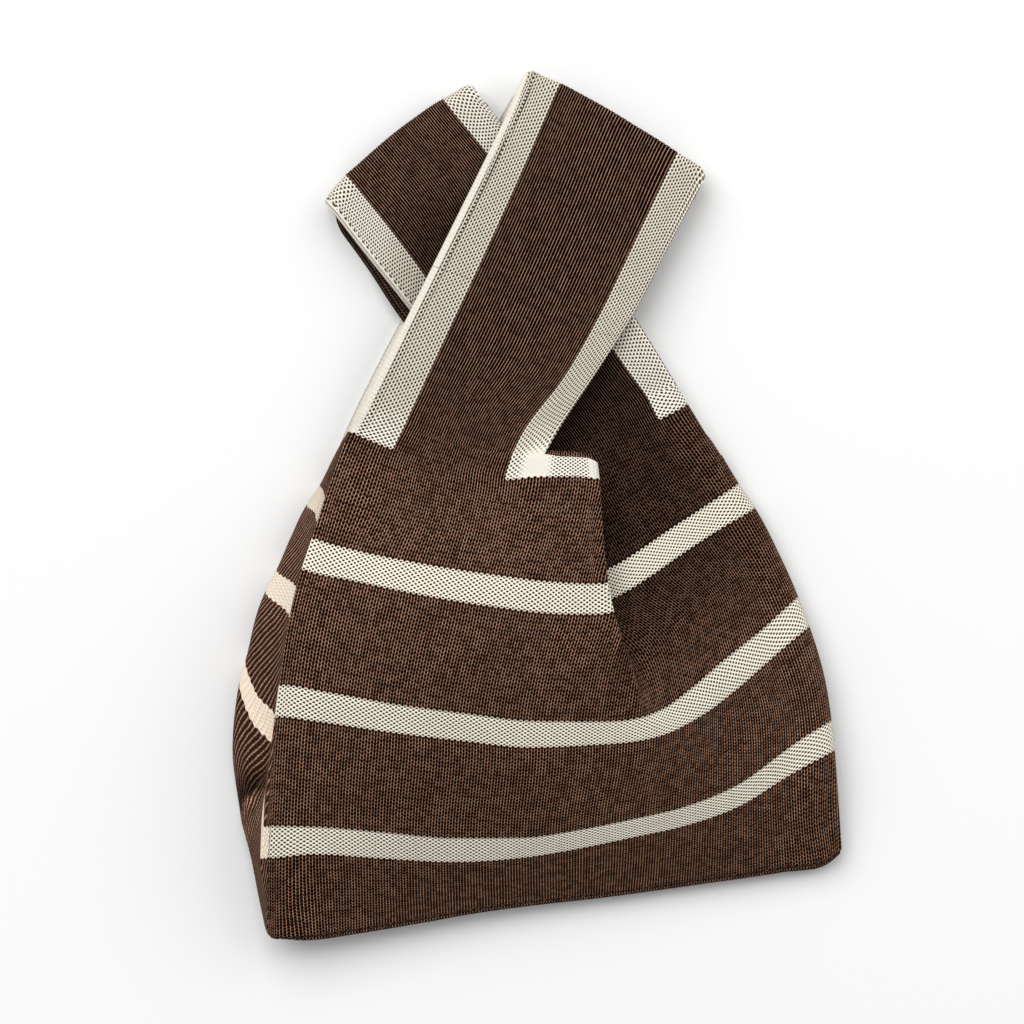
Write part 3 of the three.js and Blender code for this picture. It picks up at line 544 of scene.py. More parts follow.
class Nodes:
    """short hands for building a node tree"""

    def __init__(self, mat):
        mat.use_nodes = True
        self.t = mat.node_tree
        self.t.nodes.clear()

    def new(self, kind, **kw):
        n = self.t.nodes.new(kind)
        for k, v in kw.items():
            setattr(n, k, v)
        return n

    def put(self, socket, value):
        if hasattr(value, "is_output"):
            self.t.links.new(value, socket)
        else:
            socket.default_value = value

    def math(self, op, a, b=None, c=None, clamp=False):
        n = self.new("ShaderNodeMath", operation=op, use_clamp=clamp)
        self.put(n.inputs[0], a)
        if b is not None:
            self.put(n.inputs[1], b)
        if c is not None:
            self.put(n.inputs[2], c)
        return n.outputs[0]

    def smoothstep(self, x, lo, hi, a=0.0, b=1.0):
        n = self.new("ShaderNodeMapRange", interpolation_type="SMOOTHSTEP")
        self.put(n.inputs[0], x)
        n.inputs[1].default_value, n.inputs[2].default_value = lo, hi
        n.inputs[3].default_value, n.inputs[4].default_value = a, b
        return n.outputs[0]

    def between(self, x, lo, hi):
        return self.math("MULTIPLY", self.math("GREATER_THAN", x, lo), self.math("LESS_THAN", x, hi))

    def mix(self, f, a, b, blend="MIX"):
        n = self.new("ShaderNodeMix", data_type="RGBA", blend_type=blend)
        self.put(n.inputs[0], f)
        self.put(n.inputs[6], a)
        self.put(n.inputs[7], b)
        return n.outputs[2]

    def noise(self, vector, scale, detail=2.0, rough=0.5):
        n = self.new("ShaderNodeTexNoise")
        self.put(n.inputs["Vector"], vector)
        n.inputs["Scale"].default_value = scale
        n.inputs["Detail"].default_value = detail
        n.inputs["Roughness"].default_value = rough
        return n.outputs["Fac"]


BROWN = srgb(86, 60, 50)
CREAM = srgb(232, 224, 206)
BROWN_RAMP = [(0.0, (0.0016, 0.0004, 0.0002)), (0.28, (0.0072, 0.0020, 0.0011)), (0.58, (0.057, 0.0226, 0.0138)), (1.0, (0.65, 0.385, 0.258))]
# painted light: the gusset's brown ramp is a lighter copy of the body's, for the side that faces the light
LIT_SIDE_RAMP = [(0.0, (0.020, 0.0085, 0.0052)), (0.25, (0.048, 0.0220, 0.0140)), (0.55, (0.170, 0.091, 0.061)), (1.0, (0.52, 0.325, 0.230))]
STRAP_RAMP = [(0.0, (0.008, 0.005, 0.0022)), (0.25, (0.080, 0.057, 0.033)), (0.48, (0.44, 0.375, 0.275)), (0.68, (0.93, 0.875, 0.755)), (1.0, (1.0, 0.97, 0.89))]
FACING_RAMP = [(0.0, (0.0040, 0.0012, 0.0007)), (0.3, (0.022, 0.0085, 0.0055)), (0.7, (0.075, 0.040, 0.029)), (1.0, (0.22, 0.14, 0.11))]
CREAM_RAMP = [(0.0, (0.008, 0.005, 0.0022)), (0.25, (0.078, 0.054, 0.030)), (0.58, (0.66, 0.575, 0.435)), (0.85, (0.90, 0.84, 0.70)), (1.0, (0.97, 0.92, 0.79))]


def knit_material(name, stripes=True, bands=(), edge=None, facing=False, all_cream=False, lit_gusset=False):
    """edge: 'left' or 'right' for the two handles, whose long edges are finished differently"""
    mat = bpy.data.materials.new(name)
    n = Nodes(mat)
    M = n.math
    at = n.new("ShaderNodeAttribute", attribute_name="st")
    sep = n.new("ShaderNodeSeparateXYZ")
    n.put(sep.inputs[0], at.outputs["Vector"])
    u, v, d = sep.outputs
    two_pi = 2 * math.pi
    tex = n.new("ShaderNodeTexCoord").outputs["Object"]
    # the yarn wanders a little
    wob = M("SUBTRACT", n.noise(tex, 360.0, 2.0), 0.5)
    wob = M("ADD", M("MULTIPLY", wob, 0.20), M("MULTIPLY", M("SUBTRACT", n.noise(tex, 90.0, 1.0), 0.5), 0.5))
    across_u = M("MULTIPLY", M("SUBTRACT", u, M("MULTIPLY", v, 0.19)), 0.84) if lit_gusset else u
    uw = M("ADD", across_u, M("MULTIPLY", wob, 0.80 if lit_gusset else 0.11))
    vw = M("ADD", v, M("MULTIPLY", wob, 0.9 if lit_gusset else 0.14))
    on_strap = n.smoothstep(v, 118.0, 140.0) if (bands and not facing) else None
    if edge == "left":
        on_strap = M("MULTIPLY", on_strap, n.smoothstep(u, 36.0, 40.0, 1.0, 0.0))
    cu = M("COSINE", M("MULTIPLY", uw, two_pi))
    cv = M("COSINE", M("MULTIPLY", vw, two_pi))
    lattice = M("MULTIPLY", cu, cv)
    # the holes open a little towards the base, where the cloth is stretched
    hole = n.smoothstep(M("ADD", lattice, n.smoothstep(v, 45.0, 95.0, 0.06, 0.0)), 0.02, 0.52)
    bridge = n.smoothstep(lattice, 0.0, -0.9)
    leg = M("SUBTRACT", 0.5, M("MULTIPLY", M("COSINE", M("MULTIPLY", uw, 2 * two_pi)), 0.5))
    tri = M("ABSOLUTE", M("SUBTRACT", M("MULTIPLY", M("FRACT", u if lit_gusset else uw), 2.0), 1.0))
    p = M("SUBTRACT", vw, M("MULTIPLY", tri, 0.5))
    bead = M("ADD", 0.5, M("MULTIPLY", M("COSINE", M("MULTIPLY", p, two_pi)), 0.5))
    dip = 0.26 if on_strap is None else M("SUBTRACT", 0.26, M("MULTIPLY", on_strap, 0.20))
    line = M("MULTIPLY", M("POWER", leg, 2.1), M("SUBTRACT", 1.0, M("MULTIPLY", M("SUBTRACT", 1.0, bead), dip)))
    span = 0.15 if lit_gusset else 0.45
    if on_strap is not None:
        span = M("SUBTRACT", 0.45, M("MULTIPLY", on_strap, 0.36))
    height = M("MAXIMUM", line, M("MULTIPLY", bridge, span))
    # the edges of the handles: a smooth roll, then the rows of linking
    smooth_zone = None
    dots = None

    def row(centre, width, period, strength, sharp=0.0):
        across = M("SUBTRACT", 1.0, M("DIVIDE", M("ABSOLUTE", M("SUBTRACT", d, centre)), width), clamp=True)
        across = n.smoothstep(across, 0.0, 0.8)
        if period is None:
            return M("MULTIPLY", across, strength)
        along = n.smoothstep(M("COSINE", M("MULTIPLY", vw, two_pi / period)), sharp - 0.35, sharp + 0.35)
        return M("MULTIPLY", M("MULTIPLY", across, along), strength)

    if edge == "left":
        outer_side = M("LESS_THAN", u, 18.0)
        a = M("MULTIPLY", n.smoothstep(d, 5.0, 8.0, 1.0, 0.0), outer_side)
        smooth_zone = a
        first = M("MAXIMUM", row(7.3, 1.1, 1.0, 0.35), row(11.2, 1.5, 1.0, 1.0))
        first = M("MAXIMUM", first, row(13.8, 0.8, None, 0.22))
        first = M("MAXIMUM", first, row(3.0, 3.4, 1.0, 0.36, 0.1))
        dots = M("MULTIPLY", first, outer_side)
    elif edge == "right":
        low_side = M("LESS_THAN", u, 86.0)
        smooth_zone = M("MULTIPLY", n.smoothstep(d, 4.0, 9.0, 0.85, 0.0), low_side)
        first = M("MAXIMUM", row(6.4, 1.5, 2.2, 1.0, 0.25), row(2.4, 0.8, None, 0.7))
        dots = M("MULTIPLY", first, low_side)
    if bands and not facing:
        above = M("GREATER_THAN", v, 124.0)
        neck = None
        if edge == "left":
            calm = M("MULTIPLY", n.smoothstep(u, 31.0, 34.0), n.smoothstep(u, 36.0, 38.6, 1.0, 0.0))
            calm = M("MULTIPLY", calm, n.smoothstep(v, 130.0, 135.5, 1.0, 0.0))
            end = n.smoothstep(u, 44.0, 45.4)
            neck = M("MULTIPLY", M("MAXIMUM", calm, end), above)
            smooth_zone = M("MAXIMUM", smooth_zone, neck)
    hole_amount = M("MULTIPLY", hole, 0.25) if lit_gusset else hole
    if on_strap is not None:
        hole_amount = M("MULTIPLY", hole, M("SUBTRACT", 1.0, M("MULTIPLY", on_strap, 0.26 if edge == "left" else 0.10)))
    rough_line = M("SUBTRACT", 1.0, height)
    if smooth_zone is not None:
        keep = M("SUBTRACT", 1.0, M("MULTIPLY", smooth_zone, 0.9))
        hole_amount = M("MULTIPLY", hole_amount, keep)
        rough_line = M("MULTIPLY", rough_line, keep)
        hole_amount = M("MAXIMUM", hole_amount, dots)
    # which yarn: a stitch has one colour, so the edges of the bands step with the stitches
    course = M("ADD", M("FLOOR", M("SUBTRACT", v, M("MULTIPLY", tri, 0.55))), 0.55)
    wale = M("ADD", M("FLOOR", u), 0.5)
    white = n.new("ShaderNodeTexWhiteNoise", noise_dimensions="2D")
    comb = n.new("ShaderNodeCombineXYZ")
    n.put(comb.inputs[0], wale)
    n.put(comb.inputs[1], course)
    n.put(white.inputs["Vector"], comb.outputs[0])
    each = M("MULTIPLY", M("SUBTRACT", white.outputs["Value"], 0.5), 0.24)
    broad = M("MULTIPLY", M("SUBTRACT", n.noise(tex, 30.0, 3.0), 0.5), 0.08)
    fuzz = M("MULTIPLY", M("SUBTRACT", n.noise(tex, 1700.0, 2.0, 0.7), 0.5), 0.55)
    shade = M("ADD", M("ADD", M("ADD", 1.0, each), broad), fuzz)

    def ramp(fac, stops):
        r = n.new("ShaderNodeValToRGB")
        r.color_ramp.interpolation = "LINEAR"
        e = r.color_ramp.elements
        while len(e) < len(stops):
            e.new(0.5)
        for k, (pos, c) in enumerate(stops):
            e[k].position = pos
            e[k].color = (*c, 1.0)
        n.put(r.inputs[0], fac)
        return r.outputs[0]

    notch = 0.20 if lit_gusset else 0.42
    if on_strap is not None:
        notch = M("SUBTRACT", 0.42, M("MULTIPLY", on_strap, 0.16))
    tall_b = M("MULTIPLY", height, M("SUBTRACT", 0.96, M("MULTIPLY", lattice, notch)))
    brown = ramp(M("MULTIPLY", tall_b, shade, clamp=True), FACING_RAMP if facing else (LIT_SIDE_RAMP if lit_gusset else BROWN_RAMP))
    tint = n.smoothstep(n.noise(tex, 210.0, 2.0, 0.6), 0.35, 0.65)
    hue = n.mix(tint, (1.05, 0.97, 0.94, 1), (0.97, 1.0, 0.95, 1))
    brown = n.mix(1.0, brown, hue, "MULTIPLY")
    if not facing and not all_cream and not lit_gusset and name != "knit_plain":
        # painted shade: the brown right of the pleat's ridge and up under the left handle is darkened, standing in for
        # the shade of the ridge and the handle
        pleat_shade = M("MULTIPLY", n.smoothstep(u, 92.0, 110.0, 1.0, 0.0), M("GREATER_THAN", u, 56.0))
        pleat_shade = M("MULTIPLY", pleat_shade, n.smoothstep(v, 56.0, 100.0))
        pleat_shade = M("MULTIPLY", pleat_shade, n.smoothstep(v, 144.0, 168.0, 1.0, 0.0))
        brown = n.mix(M("MULTIPLY", pleat_shade, 0.80), brown, n.mix(1.0, brown, (0.22, 0.22, 0.24, 1), "MULTIPLY"))
    if lit_gusset:
        # painted shade along the gusset's crease, under the cloth that overlaps it, and painted light on the facet
        # below it
        c = M("SUBTRACT", M("SUBTRACT", v, 23.0), M("MULTIPLY", M("ADD", u, 14.0), 1.83))
        there = M("MULTIPLY", n.smoothstep(u, -30.0, -27.0), n.smoothstep(u, -13.0, -10.0, 1.0, 0.0))
        dark = M("MULTIPLY", M("MULTIPLY", n.smoothstep(c, -1.0, 0.3), n.smoothstep(c, 0.6, 9.0, 0.80, 0.0)), there)
        brown = n.mix(dark, brown, n.mix(1.0, brown, (0.16, 0.15, 0.15, 1), "MULTIPLY"))
        lighter = M("MULTIPLY", n.smoothstep(c, -1.0, -2.4), n.smoothstep(c, -16.0, -8.0))
        brown = n.mix(M("MULTIPLY", lighter, there), brown, n.mix(1.0, brown, (1.35, 1.35, 1.35, 1), "MULTIPLY"))
    if edge == "right":
        # painted shade on the right handle where the handles cross, standing in for the shade between them
        place = n.new("ShaderNodeSeparateXYZ")
        n.put(place.inputs[0], tex)
        px = M("DIVIDE", place.outputs[0], GRID * MM)
        py = M("DIVIDE", place.outputs[1], -GRID * MM)
        ex, ey = 525.0 - PLAN_X0, 75.0 - PLAN_Y0
        away = M("ADD", M("MULTIPLY", M("SUBTRACT", px, ex), -0.898), M("MULTIPLY", M("SUBTRACT", py, ey), -0.44))
        along = M("ADD", M("MULTIPLY", M("SUBTRACT", px, ex), -0.44), M("MULTIPLY", M("SUBTRACT", py, ey), 0.898))
        crossing_shade = M("MULTIPLY", n.smoothstep(away, 14.0, 70.0, 0.62, 0.0), n.smoothstep(along, 105.0, 185.0))
        crossing_shade = M("MULTIPLY", crossing_shade, n.smoothstep(along, 255.0, 300.0, 1.0, 0.0))
        crossing_shade = M("MULTIPLY", crossing_shade, n.smoothstep(away, -30.0, -8.0))
        brown = n.mix(crossing_shade, brown, n.mix(1.0, brown, (0.22, 0.21, 0.22, 1), "MULTIPLY"))
    if on_strap is not None:
        # both plies of the handles are knitted tighter and darker
        brown = n.mix(on_strap, brown, n.mix(1.0, brown, (0.70, 0.70, 0.74, 1), "MULTIPLY"))
    cream = None
    if all_cream:
        cream = 1.0
    elif not facing:
        parts = []
        if stripes:
            parts += [n.between(course, a, b) for a, b in STRIPES]
        if bands:
            inside = None
            for a, b in bands:
                one = n.between(wale, a, b)
                inside = one if inside is None else M("MAXIMUM", inside, one)
            parts.append(M("MULTIPLY", M("GREATER_THAN", course, NECK_V), inside))
        for one in parts:
            cream = one if cream is None else M("MAXIMUM", cream, one)
    if cream is not None:
        weight = 0.20
        if on_strap is not None:
            weight = M("ADD", 0.24, M("MULTIPLY", on_strap, 0.32 if edge == "left" else 0.20))
        tall_c = M("SUBTRACT", 1.0, M("MULTIPLY", rough_line, weight))
        tall_c = M("MULTIPLY", tall_c, M("SUBTRACT", 1.0, M("MULTIPLY", hole_amount, 0.92)))
        # painted light: the cream is lifted towards the base, where the front slopes away from the light
        tall_c = M("ADD", tall_c, n.smoothstep(v, 40.0, 95.0, 0.13, 0.0))
        tall_c = M("ADD", tall_c, M("MULTIPLY", M("SUBTRACT", shade, 1.0), 0.16), clamp=True)
        creamy = ramp(tall_c, STRAP_RAMP if on_strap is not None else CREAM_RAMP)
        if lit_gusset:
            creamy = n.mix(1.0, creamy, (0.910, 0.846, 0.824, 1), "MULTIPLY")
            if not all_cream:
                # painted light: the gusset's cream is lifted towards the base
                low = n.smoothstep(v, 28.0, 62.0, 1.0, 0.0)
                creamy = n.mix(low, creamy, n.mix(1.0, creamy, (1.11, 1.06, 1.04, 1), "MULTIPLY"))
        if edge == "right":
            # the same painted shade where the handles cross, on the cream bands too
            creamy = n.mix(crossing_shade, creamy, n.mix(1.0, creamy, (0.58, 0.54, 0.50, 1), "MULTIPLY"))
        if smooth_zone is not None:
            flat_part = M("MULTIPLY", M("SUBTRACT", 1.0, dots), M("MULTIPLY", smooth_zone, 0.66))
            creamy = n.mix(flat_part, creamy, (0.600, 0.570, 0.495, 1))
        colour = creamy if all_cream else n.mix(cream, brown, creamy)
    else:
        colour = brown
    bsdf = n.new("ShaderNodeBsdfPrincipled")
    n.put(bsdf.inputs["Base Color"], colour)
    n.put(bsdf.inputs["Roughness"], n.smoothstep(height, 0.0, 1.0, 0.98, 0.86))
    bsdf.inputs["Specular IOR Level"].default_value = 0.04
    bump = n.new("ShaderNodeBump")
    bump.inputs["Strength"].default_value = 0.7
    bump.inputs["Distance"].default_value = 0.0007
    body = height
    if smooth_zone is not None:
        body = M("ADD", M("MULTIPLY", height, keep), M("MULTIPLY", smooth_zone, 0.55))
    tall = M("ADD", M("SUBTRACT", body, M("MULTIPLY", hole_amount, 0.9)), M("MULTIPLY", fuzz, 0.3))
    n.put(bump.inputs["Height"], tall)
    n.put(bsdf.inputs["Normal"], bump.outputs[0])
    out = n.new("ShaderNodeOutputMaterial")
    n.put(out.inputs[0], bsdf.outputs[0])
    mat.diffuse_color = CREAM if all_cream else BROWN
    return mat


M_BODY = knit_material("knit_body")
M_LEFT = knit_material("knit_left_front", bands=((-3, 8), (30.4, 66)), edge="left")
M_RIGHT = knit_material("knit_right_front", bands=((66, 73.6), (98.4, 106)), edge="right")
# the side gusset, in the lighter painted-lit brown
M_SIDE = knit_material("knit_side", lit_gusset=True)
M_PLAIN = knit_material("knit_plain", stripes=False)
M_FACING = knit_material("knit_facing", stripes=False, facing=True)
M_CREAM = knit_material("knit_cream", stripes=False, all_cream=True)

# ------------------------------------------------------------ body, built once
KU, KV = 4, 2
U0, U1, V1 = -32, 118, 132
us = np.arange((U1 - U0) * KU + 1) / KU + U0
vs = np.arange(V1 * KV + 1) / KV
uu, vv = np.meshgrid(us, vs)
mid = plan(body_surface(uu.ravel(), vv.ravel())).reshape(uu.shape + (3,))
normal = grid_normals(mid)
relief = np.where(uu < 0, -0.07 * np.cos(2 * np.pi * 0.84 * (uu - 0.19 * vv)), stitch_relief(uu, vv))
relief = relief * smooth((np.abs(normal[..., 2]) - 0.25) / 0.45)


# the cloth of the body is one ply, the handles two: the cloth is rounded at its free edges
ROUND = 1.85


def rounded(d_mm):
    d = np.clip(d_mm / ROUND, 0, 1)
    return np.sqrt(np.clip(1 - (1 - d) ** 2, 0, 1))


def from_line(line):
    return np.linalg.norm(mid - line, axis=2) / MM


i0, i36, i68, i104 = (int((k - U0) * KU) for k in (0, 36, 68, 104))
d_left = from_line(mid[:, i0:i0 + 1])
d_right = from_line(mid[:, i104:i104 + 1])
d_neck = from_line(mid[-1:, :])
g_left = smooth((vv - 122.5) / 4.0)
g_right = smooth((vv - 114) / 4.0)
half = np.full(uu.shape, 1.0)
half = np.where(uu < 30, half * (1 - g_left) + rounded(d_left) * g_left, half)
half = np.where((uu > 74), half * (1 - g_right) + rounded(d_right) * g_right, half)
half = np.where((uu > 36) & (uu < 68) & (vv > 124), np.minimum(half, rounded(d_neck)), half)
half = half + 0.03
edge = np.full(uu.shape, 99.0)
fall = np.clip(NECK_V - vv, 0, None) * 6.0
edge = np.where((uu >= 0) & (uu < 20), np.minimum(edge, d_left / GRID + fall), edge)
edge = np.where((uu > 88) & (uu <= 104), np.minimum(edge, d_right / GRID + fall), edge)
ease = np.clip(half, 0.0, 1.0)
outer = mid + normal * ((half + relief * ease) * MM)[..., None]
inner = (mid - normal * (half * MM)[..., None])[::KV, ::KU]
st = np.stack([uu, vv, edge], -1)


def body_patch(name, mask, mats):
    return shell(name, outer, inner, mask, st, mats)


def cells(u_lo, u_hi, v_lo, v_hi):
    m = np.zeros((V1, U1 - U0), bool)
    m[v_lo:v_hi, u_lo - U0:u_hi - U0] = True
    return m


front = body_patch("front_cloth", cells(0, WALES, 0, 112), [M_BODY, M_FACING])
left_side = body_patch("left_side_cloth", cells(-32, 0, 0, 122), [M_SIDE, M_FACING])
right_side_cloth = body_patch("right_side_cloth", cells(WALES, RIGHT_END, 0, 110), [M_BODY, M_FACING])


# ------------------------------------------------------------ handles in cloth
def strap_sheet(side):
    h = HANDLES[side]
    u0 = h["u0"]
    lus = np.arange(STRAP * KU + 1) / KU
    rows, rv = handle_grid(h, lus)
    m = plan(rows)
    nrm = grid_normals(m)
    uu2, vv2 = np.meshgrid(lus + u0, rv)
    # distance to the two long edges, in plan steps
    dist0 = np.linalg.norm(m - m[:, :1], axis=2) / (GRID * MM)
    dist1 = np.linalg.norm(m - m[:, -1:], axis=2) / (GRID * MM)
    d = np.minimum(dist0, dist1)
    # the cloth thickens from one ply to two just above the neck edge
    grow = smooth((vv2 - HEM_V) / 5.0)
    half = (1.0 + (HALF - 1.0) * grow) * rounded(d * GRID) + 0.03
    # linked loops show along the open edges of the back half
    back_half = smooth((vv2 - (HEM_V + h["front_v"] + h["bight_v"])) / 3.0)
    loop = 0.5 + 0.5 * np.cos(2 * np.pi * vv2)
    out_dir = np.zeros_like(m)
    out_dir[:, :STRAP * KU // 2] = m[:, :1] - m[:, -1:]
    out_dir[:, STRAP * KU // 2:] = m[:, -1:] - m[:, :1]
    out_dir /= np.linalg.norm(out_dir, axis=2, keepdims=True)
    m = m + out_dir * (0.95 * MM * back_half * loop * np.clip(1 - d / 5.0, 0, 1))[..., None]
    rel = stitch_relief(uu2, vv2) * np.clip((d - 1.0) / 5.0, 0.0, 1.0)
    out = m + nrm * ((half + rel) * MM)[..., None]
    inn = (m - nrm * (half * MM)[..., None])[::KV, ::KU]
    stc = np.stack([uu2, np.minimum(vv2, 1000), d], -1)
    return {"mid": m, "outer": out, "inner": inn, "st": stc, "rows": len(rv), "v": rv}


def strap_patch(name, s, r0, r1, mats, turn=0):
    """stitch rows r0 to r1 of a handle, counted from the neck edge"""
    mask = np.ones((r1 - r0, STRAP), bool)
    o = s["outer"][r0 * KV:r1 * KV + 1]
    i = s["inner"][r0:r1 + 1]
    t = s["st"][r0 * KV:r1 * KV + 1]
    return shell(name, o, i, mask, t, mats, turn=turn)


def join_up(name, side, s, mask, r1, mats):
    """the shoulder cut from the body sheet, and the handle above it, as one cloth"""
    u0 = HANDLES[side]["u0"]
    c0 = u0 - U0
    nv = V1 - 112 + r1
    o = np.zeros((nv * KV + 1, (U1 - U0) * KU + 1, 3))
    i = np.zeros((nv + 1, U1 - U0 + 1, 3))
    t = np.zeros((nv * KV + 1, (U1 - U0) * KU + 1, 3))
    b = (V1 - 112)
    o[:b * KV + 1] = outer[112 * KV:]
    i[:b + 1] = inner[112:]
    t[:b * KV + 1] = st[112 * KV:]
    o[b * KV:, c0 * KU:(c0 + STRAP) * KU + 1] = s["outer"][:r1 * KV + 1]
    i[b:, c0:c0 + STRAP + 1] = s["inner"][:r1 + 1]
    t[b * KV:, c0 * KU:(c0 + STRAP) * KU + 1] = s["st"][:r1 * KV + 1]
    m = np.zeros((nv, U1 - U0), bool)
    m[:b] = mask[112:V1]
    m[b:, c0:c0 + STRAP] = True
    return shell(name, o, i, m, t, mats)


SL, SR = strap_sheet("left"), strap_sheet("right")
LEFT_SPLIT, RIGHT_SPLIT = 34, 30     # rows above the neck edge where the free end's piece starts
left_front = join_up("left_front_cloth", "left", SL, cells(0, 66, 0, V1), LEFT_SPLIT, [M_LEFT, M_FACING])
right_front = join_up("right_front_cloth", "right", SR, cells(66, WALES, 0, V1), RIGHT_SPLIT, [M_RIGHT, M_FACING])
nl = HANDLES["left"]["front_v"] * 2 + HANDLES["left"]["bight_v"]
nr = HANDLES["right"]["front_v"] * 2 + HANDLES["right"]["bight_v"]
LB, RB = nl - LEFT_SPLIT - 2, nr - RIGHT_SPLIT - 2
left_tip = strap_patch("left_tip_cloth", SL, LEFT_SPLIT, LB, [M_LEFT, M_FACING], 2)
right_tip = strap_patch("right_tip_cloth", SR, RIGHT_SPLIT, RB, [M_RIGHT, M_FACING])
left_back = strap_patch("left_back_cloth", SL, LB, (SL["rows"] - 1) // KV, [M_LEFT, M_FACING], 2)
right_back = strap_patch("right_back_cloth", SR, RB, (SR["rows"] - 1) // KV, [M_RIGHT, M_FACING])


# ----------------------------------------------------------- back and the base
def simple_sheet(name, points, st_points, thickness, mats, ku=1, kv=1, up=None):
    """points (rows*kv+1, cols*ku+1, 3) of plan points, st_points alike"""
    m = plan(points)
    nrm = grid_normals(m)
    if up is not None:
        nrm = nrm * np.sign((nrm @ np.array(up)).mean())
    rel = stitch_relief(st_points[..., 0], st_points[..., 1]) if ku > 1 else 0.0
    o = m + nrm * ((thickness / 2 + rel) * MM)[..., None] if ku > 1 else m + nrm * (thickness / 2 * MM)
    i = (m - nrm * (thickness / 2 * MM))[::kv, ::ku]
    mask = np.ones(((m.shape[0] - 1) // kv, (m.shape[1] - 1) // ku), bool)
    return shell(name, o, i, mask, st_points, mats, ku, kv)


def back_panel():
    ku, kv = 4, 2
    vs_b = np.arange(112 * kv + 1) / kv
    us_b = np.arange(WALES * ku + 1) / ku
    left, right = [], []
    for k, v in enumerate(V_ROWS[:BACK_ROWS]):
        left.append(LEFT_ROWS[v][0][1:3])
        right.append(ROW_KNOTS[k][-1][1:3])
    left[0] = (252, 811)
    right[0] = (817, 734)
    lx = hermite(V_ROWS[:BACK_ROWS], np.array(left, float), vs_b)
    rx = hermite(V_ROWS[:BACK_ROWS], np.array(right, float), vs_b)
    f = (us_b / WALES)[None, :, None]
    xy = (lx[:, None] + np.array([2.5, 0])) * f[:, ::-1] + (rx[:, None] - np.array([2.5, 0])) * (1 - f[:, ::-1])
    # u runs from the right edge to the left, so that the outside faces down
    z = np.full(xy.shape[:2] + (1,), 1.45)
    pts = np.concatenate([xy, z], 2)
    uu3, vv3 = np.meshgrid(us_b + RIGHT_END, vs_b)
    return simple_sheet("back_cloth", pts, np.stack([uu3, vv3, np.full(uu3.shape, 99.0)], -1), 2.0, [M_BODY, M_FACING], ku, kv)


back = back_panel()


def base_panel():
    ku, kv = 4, 2
    n = 26
    us_b = np.arange(WALES * ku + 1) / ku
    ws = np.arange(n * kv + 1) / kv
    top = body_surface(us_b, np.zeros(len(us_b)))
    w = (smooth(us_b / 6.0) * smooth((WALES - us_b) / 6.0))[:, None]
    down = top + np.array([0, 0.5, -0.5]) * w
    out = top + np.array([0, 4.6, -2.6]) * (0.35 + 0.65 * w)
    under = top + np.array([0, 3.0, -5.0]) * (0.4 + 0.6 * w)
    inn = top + np.array([0, -6, -5.6])
    f = (us_b / WALES)[:, None]
    edge = np.array([262.0, 815, 1.7]) * (1 - f) + np.array([812.0, 737, 1.7]) * f
    for a in (down, out, under, inn):
        a[:, 2] = np.maximum(a[:, 2], 1.9)
    k = [0, 1.2, 3.0, 4.6, 7.0, 26]
    rows = np.stack([down, out, under, (under * 0.5 + inn * 0.5), inn, edge])
    k = [0, 1.6, 3.6, 5.2, 7.2, 26]
    grid = np.empty((len(ws), len(us_b), 3))
    for i, w in enumerate(ws):
        grid[i] = hermite_rows(k, rows, np.full(len(us_b), w))
    # the left end is linked to the bottom edge of the side gusset
    end = body_surface(np.linspace(0, -32, len(ws)), np.zeros(len(ws)))
    end = np.stack([end[:, 0], end[:, 1], np.maximum(end[:, 2] - 0.8, 1.7)], -1)
    pull = (np.clip(1 - us_b / 9.0, 0, 1) ** 2)[None, :, None]
    grid = grid + (end[:, None] - grid[:, :1]) * pull
    grid = grid[::-1]
    st3 = np.stack([np.broadcast_to(us_b, grid.shape[:2]), np.broadcast_to(-ws[::-1][:, None] - 1, grid.shape[:2]), np.full(grid.shape[:2], 99.0)], -1)
    return simple_sheet("base_cloth", grid, st3, 1.8, [M_PLAIN, M_FACING], ku, kv)


base = base_panel()


# ------------------------------------------------- hems, facings, linked seams
def strip(name, top, bottom, n_u, n_v, mats, thickness=1.4, cream_st=True):
    ku, kv = 4, 2
    us_s = np.linspace(0, 1, n_u * ku + 1)
    a = hermite(np.linspace(0, 1, len(top)), np.array(top, float), us_s)
    b = hermite(np.linspace(0, 1, len(bottom)), np.array(bottom, float), us_s)
    fs = np.linspace(0, 1, n_v * kv + 1)[:, None, None]
    grid = b[None] * (1 - fs) + a[None] * fs
    u3, v3 = np.meshgrid(us_s * n_u, np.linspace(0, n_v, n_v * kv + 1))
    return simple_sheet(name, grid, np.stack([u3, v3, np.full(u3.shape, 99.0)], -1), thickness, mats, ku, kv)


front_facing = strip("front_neck_facing_cloth", [[546, 450.6, 30.6], [560, 451.4, 30.4], [576, 452.4, 30.2], [592, 454.8, 29.4]],
                     [[530, 484, 33.0], [556, 484, 32.8], [576, 484, 32.4], [597, 484, 31.0]], 10, 7, [M_PLAIN, M_FACING], 1.2)
back_hem = strip("back_neck_hem_cloth", [[518, 477, 0.85], [549, 454.5, 0.85], [597, 457, 0.85]], [[508, 487, 0.85], [545, 487, 0.85], [604, 487, 0.85]], 16, 6, [M_CREAM, M_CREAM], 1.2)
back_facing = strip("back_neck_facing_cloth", [[519, 475, 2.5], [549, 452.5, 2.5], [595, 455, 2.5]], [[508, 486, 2.5], [545, 486, 2.5], [601, 486, 2.5]], 16, 6, [M_FACING, M_FACING], 1.2)


